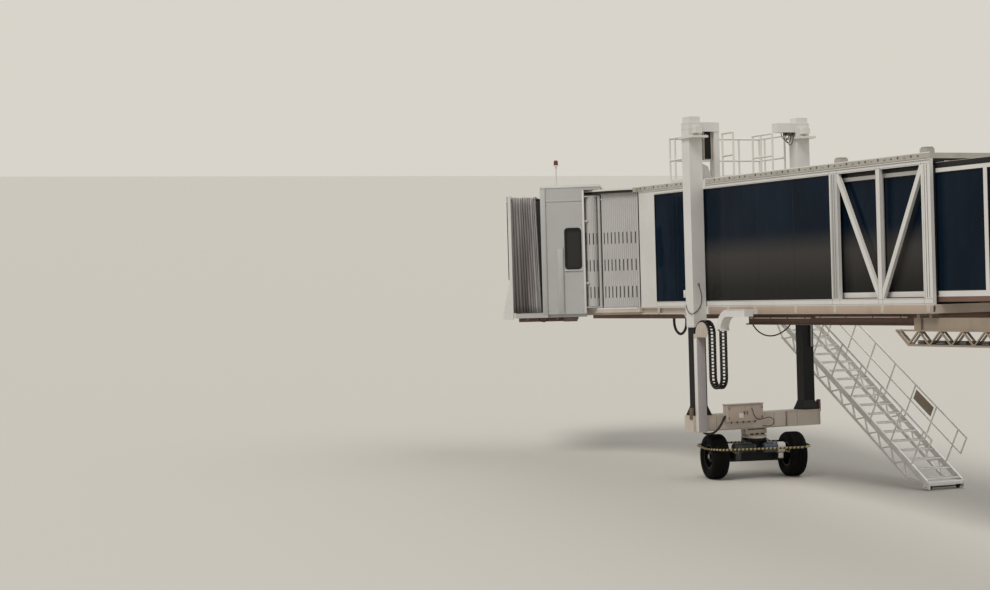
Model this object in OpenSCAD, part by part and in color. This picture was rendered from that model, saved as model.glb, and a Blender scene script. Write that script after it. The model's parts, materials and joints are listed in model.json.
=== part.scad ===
// Passenger boarding bridge: two glazed telescoping tunnels that fall towards a turning cab,
// carried by a round lobby on a column at one end and by a pair of screw-lift columns on a
// two-wheel drive bogie near the other.
// The origin is on the ground at the centre of the lobby column. +X runs along the tunnels
// to the cab, +Y is the side that the cab is turned to, +Z is up. Lengths in millimetres.
// Three frames are used. The ground frame is level. The tunnel frame lies on the slope, with
// its x from the hinge pins and its z square to the floor. The cab frame turns on the tunnel's.

/* [Slope and heights] */
// Fall of the tunnels towards the cab, in degrees
slope = 3.75; // [2.5:0.25:5]
// Height of the outer tunnel's underside above ground, at the lift columns
deck_height = 3930; // [3700:10:4300]
// Distance along the slope from the hinge pins to the lift columns
column_a = 15700; // [15400:50:16000]

/* [Round lobby] */
// Radius of the lobby floor
lobby_r = 1800; // [1700:10:1900]
// Thickness of the lobby floor
lobby_floor_t = 200; // [150:10:240]
// Clear height inside the lobby
lobby_clear = 2720; // [2600:10:2800]
// Distance from the column centre to the hinge pins
hinge_x = 2050; // [2000:10:2150]
// Outer radius of the support column
support_r = 300; // [250:10:330]
// Width of the square base plate
base_w = 1500; // [1300:10:1700]
// Radius of an anchor hole in the base plate
anchor_r = 18; // [12:1:24]

/* [Inner tunnel] */
// Outer width of the inner tunnel
inner_w = 2300; // [2200:10:2320]
// Length of one glazed bay
inner_bay = 1663; // [1550:1:1700]
// Height of the inner tunnel's underside above the datum
inner_low = 230; // [210:5:260]
// Height of the inner tunnel's roof top above the datum
inner_high = 2980; // [2850:10:3020]

/* [Outer tunnel] */
// Outer width of the outer tunnel
outer_w = 2600; // [2580:10:2620]
// Length behind the lift columns
outer_back = 8860; // [8700:10:9000]
// Length in front of the lift columns
outer_front = 3030; // [2950:10:3100]
// Height of the floor's edge channel
floor_t = 180; // [160:5:190]
// Height of the roof's top above the datum
roof_high = 3170; // [3120:10:3250]
// Thickness of the roof
roof_t = 110; // [80:5:130]
// Thickness of a side frame
frame_t = 70; // [50:5:80]
// Width of one glass pane
pane_w = 1450; // [1350:50:1550]
// Thickness of the glass
glass_t = 14; // [8:1:20]

/* [Lift columns] */
// Distance between the column centres
column_gap = 3000; // [2980:5:3100]
// Width of the square outer tube
tube_w = 346; // [330:2:360]
// Wall of the outer tube
tube_wall = 12; // [8:1:14]
// Width of the square inner column
ram_w = 300; // [280:2:304]
// Sliding gap between a wear pad and its mate
pad_gap = 0.3; // [0.2:0.1:0.5]

/* [Carriage] */
// Height of the cross-beam's top above ground
beam_top = 1560; // [1500:10:1640]
// Height of the cross-beam
beam_h = 380; // [340:10:400]
// Depth of the cross-beam along the tunnel
beam_d = 400; // [380:10:460]
// Tyre radius
tyre_r = 530; // [500:5:545]
// Tyre width
tyre_w = 420; // [380:10:440]
// Distance between the tyre centres
track = 1980; // [1900:10:2080]
// Turn of the bogie, in degrees
bogie_turn = -10; // [-15:1:0]

/* [Cab] */
// Distance from the lift columns to the cab's turning centre
cab_s = 4570; // [4550:5:4600]
// Turn of the cab, in degrees
cab_turn = 60; // [50:1:70]
// Radius of the slat curtain's track
curtain_r = 1995; // [1985:5:2005]
// Width of the cab
cab_w = 2900; // [2880:10:2940]
// Distance from the turning centre to the cab's front wall
cab_front = 2860; // [2800:10:2900]
// Distance from the turning centre to the front of the cab's floor
cab_nose = 3560; // [3500:10:3600]

/* [Service stair] */
// Clear width between the stringers
stair_w = 950; // [850:10:1000]
// Number of treads
tread_count = 20; // [18:1:22]
// Depth of a tread
tread_d = 230; // [200:5:260]

/* [Hidden] */
$fn = 64;

// Heights and places that follow from the driving sizes
hinge_z = deck_height + column_a * sin(slope);
column_x = hinge_x + column_a * cos(slope);
lobby_z = hinge_z + inner_low + 100;
inner_bays = 7;
inner_start = 300;
inner_end = inner_start + inner_bays * inner_bay + 110;
inner_floor_top = inner_low + 100;
beam_top_n = -(deck_height - beam_top) / cos(slope);
beam_low_n = beam_top_n - beam_h;
half_gap = column_gap / 2;
glass_low = floor_t + 130;
glass_high = roof_high - roof_t - 110;
pane_end = outer_front - 790;
door_back = pane_end + 80;
curtain_t = 20;
seat = 0.3;

// A box given by its low and high values on each axis
module block(x, y, z) {
  translate([x[0], y[0], z[0]]) cube([x[1] - x[0], y[1] - y[0], z[1] - z[0]]);
}

module both_sides() {
  children();
  mirror([0, 1, 0]) children();
}

// A flat outline drawn in x and z, standing between two y values
module upright(y) {
  translate([0, y[1], 0]) rotate([90, 0, 0]) linear_extrude(y[1] - y[0]) children();
}

// A rectangle given by its low and high values
module panel(x, z) {
  translate([x[0], z[0]]) square([x[1] - x[0], z[1] - z[0]]);
}

// A straight bar of an outline, from a to b
module bar(a, b, wide) {
  run = b - a;
  translate(a) rotate(atan2(run[1], run[0])) translate([0, -wide / 2]) square([norm(run), wide]);
}

// A ring sector standing on z, between two angles in degrees
module arc_wall(r, t, from, to, z) {
  translate([0, 0, z[0]]) rotate([0, 0, from])
    rotate_extrude(angle = to - from, $fn = 96) translate([r - t / 2, 0]) square([t, z[1] - z[0]]);
}

module ring(r_out, r_in, z) {
  translate([0, 0, z[0]]) difference() {
    cylinder(r = r_out, h = z[1] - z[0]);
    translate([0, 0, -1]) cylinder(r = r_in, h = z[1] - z[0] + 2);
  }
}

module disc(r, z) {
  translate([0, 0, z[0]]) cylinder(r = r, h = z[1] - z[0], $fn = 96);
}

module on_tunnel() {
  translate([hinge_x, 0, hinge_z]) rotate([0, slope, 0]) children();
}

module on_outer() {
  on_tunnel() translate([column_a, 0, 0]) children();
}

module on_head() {
  on_outer() translate([cab_s, 0, 0]) children();
}

module on_cab() {
  on_head() rotate([0, 0, cab_turn]) children();
}

// Round lobby

base_t = 40;
base_hole_in = 130;
collar_z = hinge_z - 260;

module support_column() {
  color("#c9c6bd") {
    difference() {
      block([-base_w / 2, base_w / 2], [-base_w / 2, base_w / 2], [0, base_t]);
      for (x = [-1, 1], y = [-1, 1])
        translate([x * (base_w / 2 - base_hole_in), y * (base_w / 2 - base_hole_in), -1])
          cylinder(r = anchor_r, h = base_t + 2);
    }
    translate([0, 0, base_t]) cylinder(r = support_r, h = lobby_z - lobby_floor_t - base_t);
    for (turn = [0 : 45 : 315])
      rotate([0, 0, turn]) translate([support_r - 5, 10, base_t]) rotate([90, 0, 0])
        linear_extrude(20) polygon([[0, 0], [280, 0], [280, 40], [40, 420], [0, 420]]);
    ring(support_r + 130, support_r - 5, [collar_z - 40, collar_z - pad_gap]);
  }
}

module lobby_floor() {
  color("#8d8c88") {
    disc(lobby_r, [lobby_z - lobby_floor_t, lobby_z]);
    block([-lobby_r, 0], [-portal_half, portal_half], [lobby_z - lobby_floor_t, lobby_z]);
  }
}

portal_out = lobby_r + 600;
portal_half = 1250;
lobby_arc_r = lobby_r - 50;
lobby_arc_from = asin((portal_half - 57) / lobby_arc_r);
portal_in = (lobby_arc_r + curtain_t / 2) * cos(lobby_arc_from) + 12;
lobby_wall_t = 100;

module lobby_portal() {
  color("#dddbd4") {
    block([-portal_out, -lobby_r - seat], [-portal_half, portal_half],
          [lobby_z - lobby_floor_t, lobby_z]);
    both_sides()
      block([-portal_out, -portal_in], [portal_half - lobby_wall_t, portal_half],
            [lobby_z, lobby_z + lobby_clear]);
    block([-portal_out, -portal_in], [-portal_half + lobby_wall_t, portal_half - lobby_wall_t],
          [lobby_z + lobby_clear - 250, lobby_z + lobby_clear]);
  }
}

module lobby_roof() {
  color("#cfcdc6") {
    disc(lobby_r + 150, [lobby_z + lobby_clear, lobby_z + lobby_clear + 140]);
    block([-portal_out, 0], [-portal_half, portal_half],
          [lobby_z + lobby_clear, lobby_z + lobby_clear + 140]);
    disc(lobby_r - 200, [lobby_z + lobby_clear + 140, lobby_z + lobby_clear + 190]);
  }
}

module lobby_curtains() {
  color("#b9b8b3") both_sides()
    arc_wall(lobby_arc_r, curtain_t, lobby_arc_from, 180 - lobby_arc_from,
             [lobby_z, lobby_z + lobby_clear - seat]);
}

cheek_gap = 6;
sill_x = [hinge_x - 220, hinge_x - 100];
ear_y = 860;
ear_t = 60;
pin_r = 40;
lug_t = 80;
ramp_half = portal_half - 170;
ramp_gap = 8;

module swing_frame() {
  color("#d4d2ca") {
    difference() {
      union() {
        ring(support_r + 130, support_r + pad_gap, [collar_z, hinge_z + 80]);
        block([support_r + 60, sill_x[0]], [-450, 450], [collar_z, hinge_z + 80]);
        block(sill_x, [-portal_half, portal_half], [collar_z, lobby_z]);
      }
      translate([0, 0, collar_z - 1]) cylinder(r = support_r + pad_gap, h = 400);
    }
    both_sides() {
      block([portal_in, sill_x[1]], [portal_half - 60, portal_half],
            [lobby_z + cheek_gap, lobby_z + lobby_clear - cheek_gap]);
      block(sill_x, [portal_half - 160, portal_half],
            [lobby_z, lobby_z + lobby_clear - cheek_gap]);
    }
    block(sill_x, [-portal_half, portal_half],
          [lobby_z + lobby_clear - 250, lobby_z + lobby_clear - cheek_gap]);
    block([sill_x[0], sill_x[1]], [-ramp_half, ramp_half], [lobby_z, lobby_z + ramp_gap + 6]);
    block([sill_x[1], hinge_x + 100], [-ramp_half, ramp_half],
          [lobby_z + ramp_gap, lobby_z + ramp_gap + 6]);
    both_sides() for (side = [-1, 1]) {
      y = ear_y + side * (lug_t / 2 + ear_t / 2 + 1);
      difference() {
        union() {
          block([sill_x[1], hinge_x], [y - ear_t / 2, y + ear_t / 2], [hinge_z - 90, hinge_z + 90]);
          translate([hinge_x, y + ear_t / 2, hinge_z]) rotate([90, 0, 0]) cylinder(r = 90, h = ear_t);
        }
        translate([hinge_x, y + ear_t, hinge_z]) rotate([90, 0, 0])
          cylinder(r = pin_r - 1, h = 2 * ear_t);
      }
    }
    both_sides() translate([hinge_x, ear_y + lug_t / 2 + ear_t + 1, hinge_z]) rotate([90, 0, 0])
      cylinder(r = pin_r, h = lug_t + 2 * ear_t + 2);
  }
}

// A point of the tunnel frame in the ground frame's x and z
function ground(a, n) =
  [hinge_x + a * cos(slope) + n * sin(slope), hinge_z - a * sin(slope) + n * cos(slope)];

bellows_y = [inner_w / 2 - 100, inner_w / 2 - 20];
bellows_t0 = 80;

module hinge_bellows() {
  x = sill_x[1] + seat;
  a = inner_start - seat;
  low = [[x, lobby_z + 20], ground(a, inner_low + 140)];
  high = [[x, lobby_z + lobby_clear - 150], ground(a, inner_high - 90)];
  color("#4a4745") {
    both_sides() upright(bellows_y) polygon([low[0], low[1], high[1], high[0]]);
    upright([-bellows_y[0], bellows_y[0]])
      polygon([high[0] - [0, bellows_t0], high[1] - [0, bellows_t0], high[1], high[0]]);
  }
}

// Inner tunnel

inner_half = inner_w / 2;
inner_post = 110;
inner_frame_t = 60;
skid_y = [850, 950];

module inner_floor() {
  color("#5d4b44") on_tunnel() {
    difference() {
      union() {
        block([60, inner_end], [-inner_half, inner_half], [inner_low, inner_floor_top]);
        both_sides() {
          block([0, 700], [ear_y - lug_t / 2, ear_y + lug_t / 2], [0, inner_low]);
          translate([0, ear_y + lug_t / 2, 0]) rotate([90, 0, 0]) cylinder(r = 85, h = lug_t);
          block([inner_end - 500, inner_end], skid_y, [floor_t + pad_gap, inner_low]);
        }
      }
      both_sides() translate([0, ear_y + lug_t / 2 + 1, 0]) rotate([90, 0, 0])
        cylinder(r = pin_r + pad_gap, h = lug_t + 2);
    }
  }
}

module inner_roof() {
  color("#c4c1b8") on_tunnel()
    block([inner_start, inner_end], [-inner_half, inner_half], [inner_high - 90, inner_high]);
}

module inner_frame() {
  color("#dedcd5") on_tunnel() upright([inner_half - inner_frame_t, inner_half]) {
    panel([inner_start, inner_end], [inner_floor_top, inner_floor_top + 110]);
    panel([inner_start, inner_end], [inner_high - 200, inner_high - 90]);
    for (k = [0 : inner_bays])
      panel([inner_start + k * inner_bay, inner_start + k * inner_bay + inner_post],
            [inner_floor_top, inner_high - 90]);
  }
}

module inner_frame_left() { inner_frame(); }
module inner_frame_right() { mirror([0, 1, 0]) inner_frame(); }

module inner_glass() {
  y = inner_half - inner_frame_t / 2;
  color("#1c262e") on_tunnel() both_sides() for (k = [0 : inner_bays - 1])
    block([inner_start + k * inner_bay + inner_post, inner_start + (k + 1) * inner_bay],
          [y - glass_t / 2, y + glass_t / 2], [inner_floor_top + 110, inner_high - 200]);
}

// Outer tunnel

outer_half = outer_w / 2;
cross_count = 9;
frame_low = floor_t;
frame_high = roof_high - roof_t;

module outer_floor() {
  color("#c8c4b8") on_outer() {
    block([-outer_back, outer_front], [-outer_half + 90, outer_half - 90], [floor_t - 40, floor_t]);
    both_sides() {
      block([-outer_back, outer_front], [outer_half - 90, outer_half - 60], [0, floor_t]);
      block([-outer_back, outer_front], [outer_half - 60, outer_half], [0, 30]);
      block([-outer_back, outer_front], [outer_half - 60, outer_half], [floor_t - 30, floor_t]);
    }
    for (k = [0 : cross_count]) {
      s = -outer_back + k * (outer_back + outer_front - 60) / cross_count;
      block([s, s + 60], [-outer_half + 90, outer_half - 90], [0, floor_t - 40]);
    }
  }
}

under_y = [900, 1060];
under_s = [-8000, -1500];

module outer_underframe() {
  color("#4b2f29") on_outer() {
    both_sides() difference() {
      block(under_s, under_y, [-250, 0]);
      block([under_s[0] - 1, under_s[1] + 1], [under_y[0] + 90, under_y[1] + 1], [-220, -30]);
    }
    both_sides() block([-60, outer_front], under_y, [-110, 0]);
    for (s = [under_s[0] + 100 : 1550 : under_s[1]])
      block([s, s + 90], [-under_y[0], under_y[0]], [-200, -60]);
  }
}

module outer_roof() {
  color("#d9d6cc") on_outer() {
    block([-outer_back, outer_front], [-outer_half, outer_half], [frame_high, roof_high]);
    both_sides() for (s = [-outer_back + 130, -5760])
      block([s, s + 220], [outer_half - 220, outer_half - 20], [roof_high, roof_high + 100]);
  }
}

post_s = [[-outer_back, -outer_back + 300], [-5640, -5360], [-120, 120]];
mid_s = -7100;
brace_w = 115;

module outer_frame() {
  panel([-outer_back, pane_end], [frame_low, glass_low]);
  panel([-outer_back, outer_front], [glass_high, frame_high]);
  for (s = post_s) panel(s, [frame_low, frame_high]);
  panel([mid_s - 70, mid_s + 70], [frame_low, frame_high]);
  bar([post_s[1][0] + 40, glass_high + 40], [mid_s, glass_low - 60], brace_w);
  bar([post_s[0][1] - 40, glass_high + 40], [mid_s, glass_low - 60], brace_w);
}

side_y = [outer_half - frame_t, outer_half];

module outer_frame_left() {
  color("#e4e2db") on_outer() upright(side_y) {
    outer_frame();
    panel([pane_end, outer_front], [frame_low, frame_high]);
  }
}

door_frame = 60;
door_high = 2300;

module outer_frame_right() {
  color("#e4e2db") on_outer() mirror([0, 1, 0]) upright(side_y) {
    outer_frame();
    for (s = [[pane_end, door_back], [outer_front - door_frame, outer_front]])
      panel(s, [frame_low, frame_high]);
    panel([pane_end, outer_front], [door_high, frame_high]);
  }
}

module service_door() {
  color("#d2d0c8") on_outer() mirror([0, 1, 0])
    block([door_back, outer_front - door_frame], [outer_half - 55, outer_half - 15],
          [frame_low, door_high]);
}

pane_joint = 12;
front_panes = 2;
back_panes = 4;

module outer_glass() {
  y = outer_half - 25;
  front_w = (pane_end - post_s[2][1]) / front_panes;
  color("#161d24") on_outer() both_sides() {
    for (k = [0 : front_panes - 1])
      block([post_s[2][1] + k * front_w + (k == 0 ? 0 : pane_joint),
             post_s[2][1] + (k + 1) * front_w], [y - glass_t / 2, y + glass_t / 2],
            [glass_low, glass_high]);
    for (k = [0 : back_panes - 1])
      block([post_s[1][1] + k * pane_w + (k == 0 ? 0 : pane_joint),
             min(post_s[1][1] + (k + 1) * pane_w, post_s[2][0])],
            [y - glass_t / 2, y + glass_t / 2], [glass_low, glass_high]);
  }
}

// Lift columns: outer tubes fixed to the tunnel, heads with the screw drives

tube_low = -300;
tube_high = 4150;
pad_h = 100;

module square_tube(w, wall, z) {
  difference() {
    block([-w / 2, w / 2], [-w / 2, w / 2], z);
    block([-w / 2 + wall, w / 2 - wall], [-w / 2 + wall, w / 2 - wall], [z[0] - 1, z[1] + 1]);
  }
}

module lift_tubes() {
  color("#e2e0d9") on_outer() both_sides() {
    translate([0, half_gap, 0]) {
      square_tube(tube_w, tube_wall, [tube_low, tube_high]);
      difference() {
        block([-tube_w / 2 + 1, tube_w / 2 - 1], [-tube_w / 2 + 1, tube_w / 2 - 1],
              [tube_low, tube_low + pad_h]);
        square_hole = ram_w / 2 + pad_gap;
        block([-square_hole, square_hole], [-square_hole, square_hole],
              [tube_low - 1, tube_low + pad_h + 1]);
      }
    }
    for (z = [[0, floor_t], [glass_high, roof_high]])
      block([-260, 260], [outer_half, half_gap - tube_w / 2], z);
  }
}

head_low = tube_high + 50;
head_high = 4530;
arm_end = 950;
arm_foot = 810;

module column_heads() {
  color("#dcdad3") on_outer() {
    both_sides() {
      block([-400, 250], [half_gap - 220, half_gap + 220], [tube_high, head_low]);
      block([-tube_w / 2, tube_w / 2], [half_gap - tube_w / 2, half_gap + tube_w / 2],
            [head_low, head_high]);
      block([-150, 150], [half_gap - 150, half_gap + 150], [head_high, head_high + 130]);
      block([-350, -tube_w / 2], [half_gap - 90, half_gap + 90], [head_low + 60, head_low + 200]);
      block([-120, 120], [arm_end - 140, half_gap - tube_w / 2], [head_high - 220, head_high]);
    }
    block([-110, 110], [arm_foot, arm_end], [roof_high, head_high - 220]);
    translate([-6, 0, 0]) rotate([90, 0, 90]) linear_extrude(12)
      polygon([[arm_end, roof_high], [half_gap - tube_w / 2, roof_high],
               [half_gap - tube_w / 2, roof_high + 430], [arm_end + 130, roof_high + 330]]);
  }
}

module head_screen() {
  color("#332f2e") on_outer()
    block([-70, 70], [arm_end + 60, arm_end + 260], [roof_high + 480, head_high - 220]);
}

rail_r = 20;

// A run of railing along x between two x values, standing at y on z
module rail_run(x, y, z, posts) {
  block(x, [y - rail_r, y + rail_r], [z + 1070, z + 1110]);
  block(x, [y - rail_r, y + rail_r], [z + 540, z + 580]);
  block(x, [y - 5, y + 5], [z, z + 100]);
  for (p = posts) block([p, p + 40], [y - rail_r, y + rail_r], [z, z + 1070]);
}

module rail_across(x, y, z, posts) {
  block([x - rail_r, x + rail_r], y, [z + 1070, z + 1110]);
  block([x - rail_r, x + rail_r], y, [z + 540, z + 580]);
  block([x - 5, x + 5], y, [z, z + 100]);
  for (p = posts) block([x - rail_r, x + rail_r], [p, p + 40], [z, z + 1070]);
}

platform_s = [-640, 1460];

module roof_rails() {
  color("#dedcd6") on_outer() {
    both_sides()
      rail_run([tube_w / 2 + 100, platform_s[1]], outer_half - 30, roof_high,
               [tube_w / 2 + 100, 1170, platform_s[1] - 40]);
    rail_across(platform_s[1] - rail_r, [-outer_half + 10, outer_half - 10], roof_high,
                [-700, 0, 660]);
    rail_run([platform_s[0], -110], 740, roof_high, [platform_s[0], -150]);
    rail_run([-360, 560], -520, roof_high, [-360, 160, 520]);
  }
}

// Bridgehead: fixed round floor and roof that the cab turns on

head_r = 2050;
clip_s = outer_front - cab_s;

module bridgehead_floor() {
  color("#c8c4b8") on_head() difference() {
    union() {
      disc(head_r, [60, floor_t]);
      disc(head_r - 120, [0, 60]);
    }
    block([-head_r - 10, clip_s], [-head_r, head_r], [-1, floor_t + 1]);
  }
}

module bridgehead_roof() {
  color("#cbc9c3") on_head() difference() {
    disc(head_r + 30, [frame_high, roof_high]);
    block([-head_r - 50, clip_s], [-head_r - 50, head_r + 50], [frame_high - 1, roof_high + 1]);
  }
}

curtain_z = [floor_t + seat, frame_high - seat];
corner_turn = 180 - asin((outer_half - 10) / curtain_r);
guide_turn = asin(cab_w / 2 / curtain_r);

module curtain_left() {
  color("#b6b5b0") on_head()
    arc_wall(curtain_r, curtain_t, cab_turn + guide_turn + 2.2, corner_turn - 0.6, curtain_z);
}

module curtain_right() {
  color("#b6b5b0") on_head()
    arc_wall(curtain_r, curtain_t, -corner_turn + 0.6, cab_turn - guide_turn - 2.2, curtain_z);
}

// Cable carrier under the telescoping joint

tray_s = [-11300, -7400];
tray_y = [1050, 1150];
tray_z = [-660, -340];

tray_rail = 40;

module tray_side() {
  slant = 400;
  web = 700;
  panel([tray_s[0], tray_s[1] - slant], [tray_z[0], tray_z[0] + tray_rail]);
  panel([tray_s[0], tray_s[1]], [tray_z[1] - 20, tray_z[1] + 10]);
  bar([tray_s[1] - 10, tray_z[1]], [tray_s[1] - slant - 20, tray_z[0] + 20], tray_rail);
  for (k = [0 : 4]) {
    x = tray_s[1] - slant - k * web;
    bar([x, tray_z[0] + 20], [x - web / 2, tray_z[1] - 10], 30);
    bar([x - web / 2, tray_z[1] - 10], [x - web, tray_z[0] + 20], 30);
  }
}

module cable_tray() {
  color("#a39e92") on_outer() {
    block([tray_s[0], -8000], [tray_y[0] - 60, tray_y[1]], [tray_z[1] + 10, -90]);
    for (s = [-8600, -8200])
      block([s, s + 100], [tray_y[0] - 60, tray_y[1]], [-90, floor_t - 40]);
    for (y = tray_y) upright([y - tray_rail / 2, y + tray_rail / 2]) tray_side();
    for (k = [0 : 4]) {
      x = tray_s[1] - 430 - k * 700;
      block([x - 40, x], [tray_y[0] + tray_rail / 2, tray_y[1] - tray_rail / 2],
            [tray_z[0] + 5, tray_z[0] + 30]);
    }
  }
}

module tray_chain() {
  color("#221d1c") on_outer()
    block([tray_s[0] + 50, tray_s[1] - 700], [tray_y[0] + 22, tray_y[1] - 22],
          [tray_z[0] + 30, tray_z[0] + 140]);
}

// The energy chain hangs beside the near column in one plane along the tunnel
chain_y = [1505, 1695];
chain_deep = 100;
chain_back = -1304;
chain_mid = -810;
chain_bend_n = -1453;
trough_y = [chain_y[0] - 20, chain_y[1] + 20];
trough_end = -2485;
trough_mid = -1724;
trough_mouth_n = -340;
trough_out = 450;
trough_in = 290;
duct_s = [-345, -200];
duct_y = [1490, 1710];
duct_top = -450;

// A half or quarter ring of an outline, by its inner radius and band width
module band(r, wide, quarter = false) {
  intersection() {
    difference() {
      circle(r = r + wide, $fn = 96);
      circle(r = r, $fn = 96);
    }
    translate([quarter ? 0 : -r - wide, 0]) square([quarter ? r + wide : 2 * (r + wide), r + wide]);
  }
}

module chain_trough() {
  top = trough_mouth_n + trough_out;
  color("#d9d7d0") on_outer() {
    upright(trough_y) {
      translate([trough_mid, trough_mouth_n]) band(trough_in, trough_out - trough_in, true);
      panel([trough_end, trough_mid], [top - trough_out + trough_in, top]);
    }
    for (s = [trough_end + 90, trough_mid - 100])
      block([s, s + 100], [outer_half, trough_y[0]], [0, top]);
  }
}

module lift_chain() {
  bend_mid = (chain_back + chain_mid - chain_deep) / 2;
  bend_r = (chain_mid - chain_deep - chain_back) / 2;
  arch_end = (duct_s[0] + duct_s[1] - chain_deep) / 2;
  arch_r = (arch_end - chain_mid) / 2;
  color("#2a2624") on_outer() upright(chain_y) {
    panel([chain_back - chain_deep, chain_back], [chain_bend_n, trough_mouth_n - seat]);
    panel([chain_mid - chain_deep, chain_mid], [chain_bend_n, duct_top + seat]);
    translate([bend_mid, chain_bend_n]) mirror([0, 1]) band(bend_r, chain_deep);
    translate([chain_mid + arch_r, duct_top + seat]) band(arch_r, chain_deep);
  }
}

// Service landing and its stair, beside the bridgehead on the far side

stair_y = [-2530 - stair_w, -2530];
landing_y = [stair_y[0] - 40, -outer_half];
landing_in = stair_y[1] + 50;
landing_s = [1900, 4100];
stair_top_s = 3100;
landing_edge = [[landing_s[0], landing_y[1]], [outer_front - 50, landing_y[1]],
                [outer_front + 380, landing_y[1] - 650], [landing_s[1], landing_y[1] - 890],
                [landing_s[1], landing_y[0]], [stair_top_s, landing_y[0]],
                [stair_top_s, landing_in], [landing_s[0], landing_in]];

module service_landing() {
  color("#b8b6ae") on_outer() {
    translate([0, 0, floor_t - 40]) linear_extrude(40) polygon(landing_edge);
    for (x = [landing_s[0] + 50, stair_top_s - 260])
      block([x, x + 100], [landing_in, landing_y[1]], [20, floor_t - 40]);
    block([stair_top_s - 260, landing_s[1]], [landing_in, landing_in + 100], [20, floor_t - 40]);
    block([landing_s[1] - 100, landing_s[1]], [landing_y[0], landing_in], [20, floor_t - 40]);
    block([stair_top_s, landing_s[1]], [landing_y[0], landing_y[0] + 60], [20, floor_t - 40]);
  }
  color("#b8b6ae") translate([stair_pin_x, 0, stair_pin_z]) {
    block([-40, 130], [stair_y[1] + stringer_t + 1, landing_in + 10], [-40, 60]);
    block([-40, 130], [landing_y[0] - 20, stair_y[0] - stringer_t - 1], [-40, 60]);
    translate([0, landing_in + 10, 0]) rotate([90, 0, 0])
      cylinder(r = stair_pin_r, h = stringer_t + 60);
    translate([0, landing_y[0] - 20, 0]) rotate([-90, 0, 0])
      cylinder(r = stair_pin_r, h = stringer_t + 60);
  }
}

module landing_rails() {
  near = landing_in + 30;
  far = landing_y[0] + 20;
  color("#dcdad4") on_outer() {
    rail_run([landing_s[0], stair_top_s - 60], near, floor_t,
             [landing_s[0], (landing_s[0] + stair_top_s) / 2 - 30, stair_top_s - 100]);
    rail_across(landing_s[0] + rail_r, [near + rail_r, -outer_half - 20], floor_t,
                [-outer_half - 600]);
    rail_across(landing_s[1] - rail_r, [far, landing_y[1] - 900], floor_t,
                [far, (far + landing_y[1] - 900) / 2, landing_y[1] - 940]);
    rail_run([stair_top_s + 40, landing_s[1] - 2 * rail_r], far, floor_t,
             [stair_top_s + 40, (stair_top_s + landing_s[1]) / 2]);
  }
}

// Lower columns, cross-beam and bogie

ram_top = 2200;

flare_w = 215;
flare_h = 190;

// The flare in one direction: an outline that narrows to the ram
module flare_side() {
  translate([0, 260, 0]) rotate([90, 0, 0]) linear_extrude(520)
    polygon([[-flare_w, 30], [flare_w, 30], [ram_w / 2, 30 + flare_h], [-ram_w / 2, 30 + flare_h]]);
}

module lower_columns() {
  hole = ram_w / 2 - 16;
  color("#26282a") on_outer() difference() {
    both_sides() translate([0, half_gap, beam_top_n]) {
      square_tube(ram_w, 16, [0, ram_top - beam_top_n]);
      difference() {
        union() {
          block([-220, 220], [-220, 220], [0, 30]);
          intersection() {
            flare_side();
            rotate([0, 0, 90]) flare_side();
          }
        }
        block([-hole, hole], [-hole, hole], [-1, 400]);
      }
    }
    block([-260, duct_s[1] + 5], [duct_y[0] - 10, duct_y[1] + 40], [beam_top_n - 1, beam_top_n + 400]);
  }
}

pin_drop = 80;

module cross_beam() {
  color("#cfcabd") on_outer() {
    block([-beam_d / 2, beam_d / 2], [-half_gap - 260, half_gap + 280], [beam_low_n, beam_top_n]);
    block(duct_s, duct_y, [beam_low_n - 15, duct_top]);
    both_sides() difference() {
      block([-110, 110], [240, 290], [beam_low_n - pin_drop - 60, beam_low_n]);
      translate([0, 300, beam_low_n - pin_drop]) rotate([90, 0, 0])
        cylinder(r = pin_r + pad_gap, h = 70);
    }
  }
}

module control_cabinet() {
  color("#cbc5b6") on_outer()
    block([-400, -beam_d / 2], [-20, 960], [beam_low_n + 210, beam_top_n + 220]);
}

pin_x = column_x + (beam_low_n - pin_drop) * sin(slope);
pin_z = deck_height + (beam_low_n - pin_drop) * cos(slope);
table_z = pin_z - 86;
table_r = 300;

module pivot_block() {
  color("#8f8b82") translate([pin_x, 0, 0]) {
    translate([0, 300, pin_z]) rotate([90, 0, 0]) cylinder(r = pin_r, h = 600);
    block([-110, 110], [-230, 230], [table_z, pin_z + 50]);
    disc(table_r, [table_z - 50, table_z]);
  }
}

axle_z = tyre_r;
stub_r = 60;
rim_r = 290;

module on_pin() {
  translate([pin_x, 0, 0]) rotate([0, 0, bogie_turn]) children();
}

module bogie_frame() {
  inner = track / 2 - tyre_w / 2 - 40;
  color("#1d1c1c") on_pin() {
    block([-110, 110], [-inner, inner], [axle_z - 130, axle_z + 120]);
    block([-170, 170], [-260, 260], [axle_z + 120, table_z - 110]);
    disc(table_r, [table_z - 110, table_z - 50 - pad_gap]);
    both_sides() {
      translate([0, inner, axle_z]) rotate([-90, 0, 0])
        cylinder(r = stub_r, h = track / 2 + 150 - inner);
      translate([0, inner - 60, axle_z]) rotate([-90, 0, 0])
        cylinder(r = 110, h = track / 2 - 60 - pad_gap - inner + 60);
    }
  }
}

module drive_motors() {
  color("#9aa0a8") on_pin() both_sides() {
    translate([-300, 100, axle_z + 210]) rotate([-90, 0, 0]) cylinder(r = 105, h = 350);
    translate([-300, 450, axle_z + 210]) rotate([-90, 0, 0]) cylinder(r = 125, h = 180);
    block([-370, -110], [470, 610], [axle_z - 60, axle_z + 110]);
  }
}

hoop_z = 760;
hoop_r = 25;
hoop_reach = 620;
hoop_half = track / 2 + tyre_w / 2 + 120;
hoop_bar_y = track / 2 - tyre_w / 2 - 140;

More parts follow.
